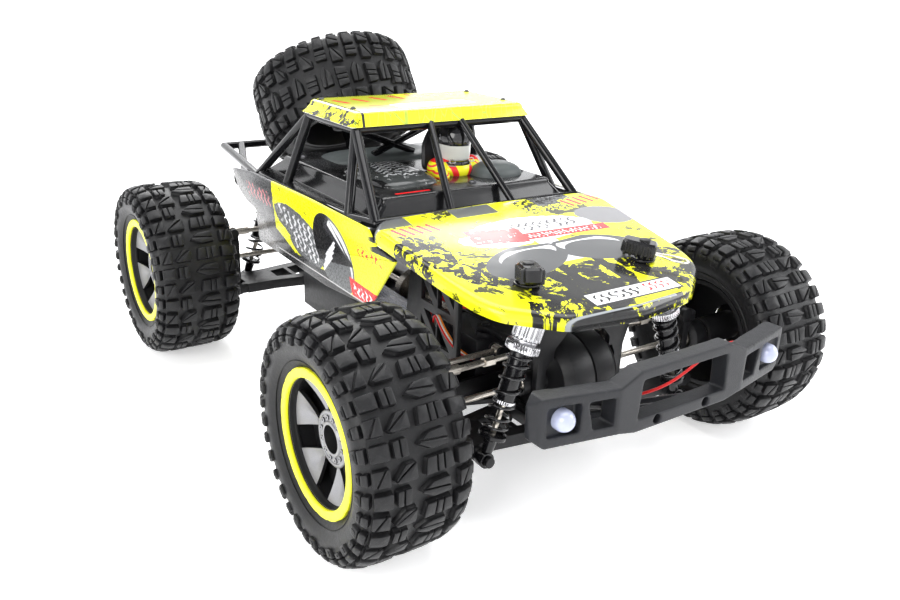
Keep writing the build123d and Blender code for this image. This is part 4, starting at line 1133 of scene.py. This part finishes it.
def shock_cup():
    cup = [(65.0, 1.6), (65.0, 4.8), (65.4, 7.3), (67.4, 7.3), (68.0, 5.2), (69.0, 3.4), (75.4, 3.0),
           (76.4, 1.6)]
    return [lathe(rounded(cup, 0.35, 2), 60), cross_eye(SHOCK_LEN, 4.3, 6, 2.4)]


COIL_TURNS, COIL_WIRE, COIL_R = 7.4, 0.82, 6.15
COIL_CLOSING = 0.42          # how much closer the end turns lie than the middle ones


def coil_spring():
    """Coil whose end turns are wound closer than its middle ones."""
    path, steps = [], int(COIL_TURNS * 26)
    for i in range(steps + 1):
        t = i / steps
        ease = t - COIL_CLOSING * math.sin(2 * math.pi * t) / (2 * math.pi)
        x = SPRING_TOP + COIL_WIRE + (SPRING_FOOT - SPRING_TOP - 2 * COIL_WIRE) * ease
        a = 2 * math.pi * COIL_TURNS * t
        path.append((x, COIL_R * math.cos(a), COIL_R * math.sin(a)))
    return [tube(path, COIL_WIRE, 10)]


def shock(corner):
    """One shock: its body above, its rod and cup below, and its coil, which rides with the body."""
    here = shock_frame(corner)
    upper, lower = f"shock_{corner}", f"piston_{corner}"

    def add(name, parts, body, look, stands=(), sharp=40.0):
        mesh = joined(name, [moved(part, here) for part in parts], sharp)
        return piece(f"{name}_{corner}", mesh, body, look, stands)
    add("shock_cap", shock_cap(), upper, "silver", (f"shock_body_{corner}",))
    add("shock_collar", shock_collar(), upper, "silver")
    add("shock_tube", shock_tube(), upper, "shock_black")
    add("shock_lip", shock_lip(), upper, "silver")
    add("shock_rod", shock_rod(), lower, "steel", (f"shock_shaft_{corner}",))
    add("shock_cup", shock_cup(), lower, "shock_black")
    coil = add("coil_spring", coil_spring(), upper, "spring", (f"spring_{corner}",), 60.0)
    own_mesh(coil)


# ---- panels --------------------------------------------------------------------------------------
def hood_z(y):
    """Height of the bonnet's sloping top."""
    return HOOD_REAR_Z + (y - HOOD_REAR_Y) * HOOD_SLOPE


def mirrored(points):
    return points + [(-x, v) for x, v in reversed(points) if x != 0]


def shell(name, rings, look, stands, thickness=0.9, sharp=50.0):
    """Sheet part from stacked loops; the last loop is filled. Its raw edges show a pale cut."""
    n = len(rings[0])
    points = [p for ring in rings for p in ring]
    top = [len(points) - n + i for i in range(n)]
    mesh = mesh_from(name, points, [top] + bands(n, len(rings)), sharp)
    up = max(mesh.polygons, key=lambda f: f.area).normal
    want = Vector((0, 0, 1)) if abs(up.z) > abs(up.x) else Vector((1 if points[0][0] > 0 else -1, 0, 0))
    if up.dot(want) < 0:
        mesh.flip_normals()
    for key in (look, "cut_edge", "under"):
        mesh.materials.append(M[key])
    obj = linked(name, mesh)
    solid = obj.modifiers.new("thickness", "SOLIDIFY")
    solid.thickness, solid.offset = thickness * MM, -1.0
    solid.use_even_offset = True
    solid.material_offset_rim, solid.material_offset = 1, 2
    final(obj, sharp=sharp)
    attach(obj, "body_shell")
    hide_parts(*stands)


def hood():
    """Bonnet: rolled edges down to a short skirt; the rear edge only just turns down."""
    half = [(0, -48), (74, -50), (84.5, -60), (80.5, -99), (78, -126), (75, -143), (69.5, -155), (42, -175),
            (0, -180)]
    outline = rounded(mirrored(half), 7.0, 4)
    roll, skirt = 4.2, 7.0
    bends = [math.radians(90 - 15 * k) for k in range(7)]
    stages = [(0.0, skirt), (0.0, roll + 0.8)]
    stages += [(roll * (1 - math.sin(a)), roll * (1 - math.cos(a))) for a in bends]

    def share(y):
        return 1.0 if y < -56 else max(0.14, (HOOD_REAR_Y - y) / 8.0)
    rings = [[(x, y, hood_z(y) - drop * share(y)) for x, y in offset(outline, inset + 0.02)]
             for inset, drop in stages]
    shell("bonnet_sheet", rings, "hood", ("hood_panel",))


def panel_x(z):
    """How far out the leaning flank stands at a height."""
    return PANEL_TOP_X - (PANEL_TOP_Z - z) * PANEL_LEAN


def flank(side):
    """Side panel: nearly flat sheet with its edges rolled in."""
    outline = rounded([(-53, 133), (-58, 124.5), (-80, 121.8), (-36, 79), (23, 73), (131, 74.5), (128, 84),
                       (122, 101), (138, 104), (148, 110), (152, 126), (112, 130.5), (20, 133)], 2.5, 3)
    rings = [[(side * (panel_x(z) - drop), y, z) for y, z in offset(outline, inset)]
             for inset, drop in ((0.0, 1.5), (0.12, 0.7), (0.5, 0.22), (1.2, 0.0))]
    stands = ("side_panels",) if side > 0 else ()
    shell(f"flank_sheet_{HAND[side]}", rings, "side", stands, 0.7)


def pan(name, low, high, z_low, z_high, look, stands):
    """Rolled pan with sloping sides, between two rectangles given as (half width, y low, y high)."""
    roll, corner = 3.0, 4.0
    slope_x, slope_0, slope_1 = low[0] - high[0], high[1] - low[1], low[2] - high[2]
    straight = 1.0 - roll / (z_high - z_low)

    def loop(t, z, more=0.0):
        half = low[0] - slope_x * t - more
        y0, y1 = low[1] + slope_0 * t + more * 0.6, low[2] - slope_1 * t - more * 0.7
        return [(x, y, z) for x, y in rounded([(half, y0), (half, y1), (-half, y1), (-half, y0)], corner, 5)]
    rings = [loop(t, z_low + (z_high - z_low) * t) for t in (0.0, 0.5, straight)]
    for k in range(1, 6):
        a = math.radians(18 * k)
        rings.append(loop(straight, z_high - roll * (1 - math.sin(a)), roll * (1 - math.cos(a))))
    shell(name, rings, look, stands)


def panels():
    hood()
    for side in HAND:
        flank(side)
    pan("roof_sheet", (66.5, -4.5, 65.0), (59.5, -2.5, 61.0), 178.5, 186.5, "roof",
        ("roof_panel",))
    pan("deck_sheet", (70.0, -37.5, 112.0), (60.0, -32.5, 100.0), 133.0, 143.0, "deck",
        ("cockpit_deck",))


# ---- cockpit -------------------------------------------------------------------------------------
def dome(name, centre, size, look, power=5.0, segments=48, rings=14):
    """Smooth swelling on the deck: a superellipse in plan, domed in height."""
    cx, cy, cz = centre
    rx, ry, h = size
    points = []
    for i in range(rings):
        a = math.pi / 2 * i / (rings - 1)
        reach, z = max(math.cos(a), 0.0) ** 0.8, h * math.sin(a)
        for k in range(segments):
            b = 2 * math.pi * k / segments
            c, s = math.cos(b), math.sin(b)
            x = math.copysign(abs(c) ** (2 / power), c) * rx * reach
            y = math.copysign(abs(s) ** (2 / power), s) * ry * reach
            points.append((cx + x, cy + y, cz + z))
    faces = bands(segments, rings) + [list(range(segments))[::-1]]
    piece(name, mesh_from(name, points, faces, 60.0), "body_shell", look)


def blob(name, balls, look):
    """Mesh object of several ellipsoids, given as (centre, radii) pairs, fused and smoothed."""
    arc = [math.pi * i / 12 for i in range(13)]
    ball, faces = lathe([(math.cos(a), math.sin(a)) for a in arc], 20, closed=False)
    parts = []
    for (cx, cy, cz), (rx, ry, rz) in balls:
        parts.append(([(cx + rx * x, cy + ry * y, cz + rz * z) for x, y, z in ball], faces))
    obj = linked(name, joined(name, parts, 180.0))
    fused(obj, 0.55, 9)
    final(obj, look)
    return obj


def standing(part, place, stretch=1.0):
    """Turn a lathe part so that its axis points up, and stretch it in Y."""
    points = [(place[0] - z, place[1] + y * stretch, place[2] + x) for x, y, z in part[0]]
    return points, part[1]


HELMET_Z = 163.2


def helmet():
    """Closed helmet in two tones on a padded collar."""
    def turned(name, profile, stretch, look, closed=False):
        part = standing(lathe(profile, 56, closed=closed), (*DRIVER, HELMET_Z), stretch)
        piece(name, joined(name, [part], 50.0), "body_shell", look)
    arc = [math.pi / 20 * k for k in range(11)]
    crown = [(2.6 + 10.6 * math.cos(a), 10.9 * math.sin(a)) for a in arc]
    turned("helmet_crown", [(-1.2, 0.0), (-1.2, 10.5), (0.4, 10.9)] + crown[::-1], 1.1, "helmet")
    band = [(-11.0, 0.0), (-11.0, 9.4), (-9.6, 10.2), (-5.0, 10.55), (0.4, 10.6), (0.8, 10.2), (0.8, 0.0)]
    turned("helmet_visor", rounded(band, 0.5, 2, closed=False), 1.08, "visor")
    for index, (z, radius) in enumerate(((-12.4, 10.5), (-14.6, 10.0))):
        low, high = z - 1.3, z + 1.1
        roll = [(low, radius - 2.0), (low, radius + 0.5), (high, radius + 0.3), (high, radius - 2.0)]
        turned(f"helmet_collar_{index}", rounded(roll, 0.6, 3), 1.08, "helmet", closed=True)


def seat():
    """Seat shell that leans back behind the driver."""
    x, y = DRIVER
    outline = rounded([(-17, -8), (17, -8), (15, 10), (8, 20), (-8, 20), (-15, 10)], 5.0, 4)
    lean = Matrix.Rotation(math.radians(-12), 4, "X") @ Matrix.Rotation(math.radians(90), 4, "X")
    lay = Matrix.Translation((x, y + 14.4, 150.6)) @ lean
    piece("driver_seat", joined("driver_seat", [moved(prism(outline, 0.0, 3.4, 1.2), lay)]), "body_shell",
          "case")


def buckle(side):
    """Wire loop on a harness strap."""
    x, y = DRIVER
    corners = rounded([(-1.9, -1.3), (1.9, -1.3), (1.9, 1.3), (-1.9, 1.3)], 0.5, 3)
    loop = [(px, 0.0, pz) for px, pz in corners + corners[:1]]
    lay = Matrix.Translation((x + side * 7.4, y - 9.6, 152.6)) @ Matrix.Rotation(math.radians(-42), 4, "X")
    mesh = joined("harness_buckle", [moved(tube(loop, 0.34, 8), lay)], 50.0)
    piece(f"harness_buckle_{HAND[side][0]}", mesh, "body_shell", "clip")


def driver():
    """Driver's bust: chest, shoulders and arms in one suit, with helmet, seat and buckles."""
    x, y = DRIVER
    chest = [((x, y + 1, 147.6), (15.5, 10.5, 8.6)), ((x, y - 5, 145.8), (11.0, 8.0, 7.0))]
    for side in (-1, 1):
        chest.append(((x + side * 13.0, y - 1, 146.8), (6.4, 7.5, 7.2)))
        chest.append(((x + side * 15.5, y - 9, 144.4), (4.4, 8.5, 4.4)))
    attach(blob("driver_body", chest, "suit"), "body_shell", ("driver_figure",))
    helmet()
    seat()
    for side in (-1, 1):
        buckle(side)


def deck_brim(side):
    """Strip that fills the gap between the deck and a flank."""
    inner, outer, front, rear = side * 69.0, side * 81.5, -36.5, 104.0
    outline = [(inner, front), (outer, front), (outer, rear), (inner, rear)][::side]
    mesh = joined("deck_brim", [prism(rounded(outline, 2.0, 3), 131.2, 132.4, 0.3)])
    piece(f"deck_brim_{HAND[side]}", mesh, "body_shell", "deck")


def cockpit():
    driver()
    dome("dash_hump", (37.0, -8.0, 142.6), (18.0, 14.0, 8.5), "seat", 2.4)
    for side in HAND:
        deck_brim(side)
    dome("left_cowl", (-30.0, 14.0, 142.4), (22.0, 30.0, 7.0), "deck")
    dome("rear_cowl", (0.0, 72.0, 142.4), (44.0, 20.0, 5.0), "seat")


# ---- bumper --------------------------------------------------------------------------------------
def cut(obj, part):
    """Take a closed solid away from an object."""
    cutter = linked("cutter", joined("cutter", [part]))
    bite = obj.modifiers.new("bite", "BOOLEAN")
    bite.operation, bite.solver, bite.object = "DIFFERENCE", "EXACT", cutter
    final(obj)
    bpy.data.objects.remove(cutter)


def bumper():
    """Moulded bumper: the CAD bar with square lamp pockets, its edges melted round as on a moulding."""
    source = NODES["front_bumper"]
    obj = linked("front_bumper_moulding", source.data.copy())
    quarter = math.radians(90)
    upright = Matrix.Translation((0, BUMPER_FACE + 9.0, 0)) @ Matrix.Rotation(quarter, 4, "X")
    for side in HAND:
        low, high = sorted((side * 62.5, side * 79.5))
        pocket = rounded([(low, 77.0), (high, 77.0), (high, 91.5), (low, 91.5)], 1.5, 3)
        cut(obj, moved(prism(pocket, 0.0, 14.0, 0.2), upright))
        hole = lathe([(0.0, 0.0), (0.0, 2.5), (8.0, 2.5), (8.0, 0.0)], 24, closed=False)
        mouth = Matrix.Translation((side * 17.0, BUMPER_FACE - 0.6, 73.0))
        cut(obj, moved(hole, mouth @ Matrix.Rotation(quarter, 4, "Z")))
    fused(obj, 0.55, 10)
    final(obj, "bumper")
    attach(obj, source["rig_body"], ("front_bumper",))


# ---- chassis and suspension parts that keep their CAD shape --------------------------------------
def chassis():
    for node in ("chassis_tub", "gearboxes", "shock_towers", "steering_link", "servo_horn"):
        softened(node, "nylon")
    for corner in CORNERS:
        softened(f"lower_arm_{corner}", "nylon", 0.45)
        softened(f"{UPRIGHT[corner[0]]}_{corner}", "nylon")
        if corner[0] == "f":
            softened(f"knuckle_{corner}", "nylon")
    bumper()
    softened("steering_servo", "case", 0.5)
    softened("control_unit", "case", 0.4)
    for node, look in (("battery_pack", "wrap"), ("motor", "can"), ("centre_shaft", "steel"),
                       ("roll_cage", "cage"), ("bumper_lamps", "lens"), ("tie_rod_fl", "steel"),
                       ("tie_rod_fr", "steel")):
        paint(node, look)
    for corner in CORNERS:
        paint(f"drive_shaft_{corner}", "steel")
        paint(f"upper_link_{corner}", "steel")


# ---- clips, screws and leads ---------------------------------------------------------------------
def clip_tab():
    """Ribbed rubber pull tab."""
    outline = [(-6.5, -4.4), (-3.0, -5.4), (10.5, -4.8), (12.5, -2.8), (12.5, 4.0), (10.5, 5.6), (-3.0, 6.0),
               (-6.5, 5.0)]
    tab = [prism(rounded(outline, 1.6, 3), -2.8, 5.4, 1.2)]
    for rib in range(5):
        at = -4.0 + 3.3 * rib
        rib_outline = rounded([(at, -5.9), (at + 1.6, -5.9), (at + 1.6, 6.5), (at, 6.5)], 0.5, 2)
        tab.append(prism(rib_outline, -3.2, 4.4, 0.5))
    return tab


def body_clip(side, yaw):
    """Spring-wire clip through a body post, with a pull tab on its loop and a washer under it."""
    x, y = side * POST_X, POST_Y
    turn = Matrix.Rotation(math.radians(yaw), 4, "Z") @ Matrix.Rotation(math.radians(-7), 4, "Y")
    lay = Matrix.Translation((x, y, hood_z(y) + 5.4)) @ turn
    bends = [(9.5, 0, 0), (-9.0, 0, 0), (-16.6, -2.0, 0), (-22.6, -1.4, 0), (-25.0, 2.4, 0), (-22.0, 6.2, 0),
             (-16.0, 6.4, 0), (-10.0, 3.6, 0), (-6.2, 2.9, 0), (-1.4, 4.2, 0), (5.0, 4.2, 0)]
    wire = tube(rounded(bends, 1.2, 3, closed=False), 0.62, 10)
    wire = joined("body_clip", [moved(wire, lay)], 60.0)
    piece(f"body_clip_{HAND[side]}", wire, "body_shell", "clip")
    tab = joined("clip_pull_tab", [moved(part, lay) for part in clip_tab()], 35.0)
    piece(f"clip_pull_tab_{HAND[side]}", tab, "body_shell", "shock_black")
    washer = lathe(rounded([(0.0, 4.3), (0.0, 6.8), (1.3, 6.8), (1.3, 4.3)], 0.4, 2), 40)
    washer = joined("post_washer", [standing(washer, (x, y, hood_z(y) + 0.1))])
    piece(f"post_washer_{HAND[side]}", washer, "body_shell", "shock_black")


def screws(name, places, radius):
    """Button heads with a hexagon socket on the body, each at a (place, direction) pair."""
    dome_line = [(0.0, 0.0), (0.0, radius), (0.5, radius), (1.1, radius * 0.8)]
    socket = [(1.4, radius * 0.48), (0.6, radius * 0.44), (0.6, 0.0)]
    head = lathe(rounded(dome_line, 0.15, 2, closed=False) + socket, 18, closed=False)
    parts = []
    for place, direction in places:
        turn = Vector((1, 0, 0)).rotation_difference(Vector(direction)).to_matrix().to_4x4()
        parts.append(moved(head, Matrix.Translation(place) @ turn))
    piece(name, joined(name, parts, 35.0), "body_shell", "screw")


POWER_LEAD = [(-40, -36, 55), (-40, -45, 55), (-41, -51, 66), (-42, -55, 81), (-43, -65, 91), (-43, -80, 90),
              (-41, -96, 94), (-32, -109, 98), (-16, -112, 94), (-2, -104, 85), (10, -93, 68), (16, -84, 52),
              (16, -74, 52)]
SERVO_LEAD = [(-44, -62, 60), (-47, -66, 72), (-51, -72, 82), (-55, -80, 86), (-57, -88, 82), (-54, -93, 74),
              (-47, -94, 66), (-38, -92, 60)]


def lamp_lead(side):
    """Listed points from a lamp's stem to the gearbox cover."""
    route = [(LAMP_X, 21.5, LAMP_Z), (LAMP_X, 28, LAMP_Z - 1), (60, 33, 78), (42, 32, 71), (26, 30, 68),
             (16, 36, 62), (15.5, 46, 56)]
    return [(side * x, BUMPER_FACE + back, z) for x, back, z in route]


def lead(name, points, radius, look, stands=()):
    """Insulated lead on a smooth curve through the listed points of its route."""
    curve = bpy.data.curves.new(name, "CURVE")
    curve.dimensions = "3D"
    spline = curve.splines.new("NURBS")
    spline.points.add(len(points) - 1)
    for point, place in zip(spline.points, points):
        point.co = (*[c * MM for c in place], 1.0)
    spline.order_u = 3
    spline.use_endpoint_u = True
    curve.bevel_depth, curve.bevel_resolution, curve.resolution_u = radius * MM, 5, 10
    curve.materials.append(M[look])
    attach(linked(name, curve), "root", stands)


def leads():
    lead("power_lead", POWER_LEAD, 1.5, "wire_red", ("wiring",))
    for side, look in ((1, "wire_red"), (-1, "wire_black")):
        lead(f"lamp_lead_{HAND[side]}", lamp_lead(side), 0.8, look)
    for strand, look in enumerate(("wire_red", "wire_white", "wire_orange")):
        lead(f"servo_lead_{strand}", [(x + 1.15 * strand, y, z) for x, y, z in SERVO_LEAD], 0.55, look)


def fasteners():
    body_clip(1, 128)
    body_clip(-1, -118)
    roof_places = [((side * 56.5, y, 186.3), (side * 0.05, 0, 1)) for side in HAND for y in (13, 55)]
    screws("roof_screws", roof_places, 1.7)
    deck_places = [(8, -23, 142.9), (56, -10, 142.6), (-54, 90, 142.6), (54, 90, 142.6)]
    screws("deck_screws", [(place, (0, 0, 1)) for place in deck_places], 2.6)


# ---- stage, light and camera ---------------------------------------------------------------------
def stage():
    """Pale round floor whose rim curves up into a wall, so that every view ends in white."""
    profile = rounded([(0.4, 0.0), (2.4, 0.0), (3.3, 0.4), (3.6, 1.4), (3.6, 3.2)], 0.5, 6, closed=False)
    points, sides = [(0.0, 0.0, 0.0)], 64
    for radius, height in profile:
        for k in range(sides):
            turn = 2 * math.pi * k / sides
            points.append((radius / MM * math.cos(turn), radius / MM * math.sin(turn), height / MM))
    centre = [[0, 1 + k, 1 + (k + 1) % sides] for k in range(sides)]
    mesh = mesh_from("studio_floor", points, centre + bands(sides, len(profile), 1), 80.0)
    s = Shader("studio_white", rough=0.85)
    s.set("Base Color", s.mix(s.noise(900.0, 2.0), (0.88, 0.88, 0.89), (0.92, 0.92, 0.92)))
    s.set("Emission Color", (1.0, 1.0, 1.0, 1.0))
    s.set("Emission Strength", 0.45)
    mesh.materials.append(s.material)
    linked("studio_floor", mesh)


def lamp(name, place, aim, size, power, colour=(1.0, 1.0, 1.0)):
    light = bpy.data.lights.new(name, "AREA")
    light.shape = "RECTANGLE"
    light.size, light.size_y = size
    light.energy, light.color = power, colour
    obj = linked(name, light)
    obj.location = place
    obj.rotation_euler = (Vector(aim) - Vector(place)).to_track_quat("-Z", "Y").to_euler()


def studio():
    lamp("key_overhead", (0.1, 0.15, 1.5), (0.0, 0.0, 0.05), (1.6, 1.2), 26.0)
    lamp("front_left", (-1.3, -0.7, 0.8), (0.0, 0.0, 0.08), (0.9, 0.9), 14.0, (1.0, 0.99, 0.97))
    lamp("right_side", (1.4, -0.8, 0.9), (0.0, 0.0, 0.1), (0.8, 0.8), 10.0, (0.98, 0.99, 1.0))
    lamp("rear_strip", (0.5, 1.4, 1.0), (0.0, 0.1, 0.12), (1.4, 0.5), 16.0)
    world = bpy.data.worlds.new("studio_air")
    bpy.context.scene.world = world
    world.use_nodes = True
    air = world.node_tree.nodes["Background"].inputs
    air["Color"].default_value, air["Strength"].default_value = (0.93, 0.95, 1.0, 1.0), 0.4
    bpy.context.scene.view_settings.view_transform = "Standard"


CAMERA_EYE, CAMERA_AIM = Vector((-302.6, -445.3, 265.3)) * MM, Vector((14.0, 4.9, 53.6)) * MM
CAMERA_LENS, CAMERA_ROLL = 34.16, math.radians(2.234)


def camera():
    data = bpy.data.cameras.new("camera")
    data.sensor_width, data.lens = 36.0, CAMERA_LENS
    data.clip_start, data.clip_end = 0.01, 20.0
    obj = linked("camera", data)
    forward = (CAMERA_AIM - CAMERA_EYE).normalized()
    right = forward.cross(Vector((0, 0, 1))).normalized()
    up = right.cross(forward)
    aimed = Matrix((right, up, -forward)).transposed() @ Matrix.Rotation(CAMERA_ROLL, 3, "Z")
    obj.matrix_world = Matrix.Translation(CAMERA_EYE) @ aimed.to_4x4()
    bpy.context.scene.camera = obj


wheels()
for name in CORNERS:
    shock(name)
panels()
cockpit()
chassis()
leads()
fasteners()
stage()
studio()
camera()
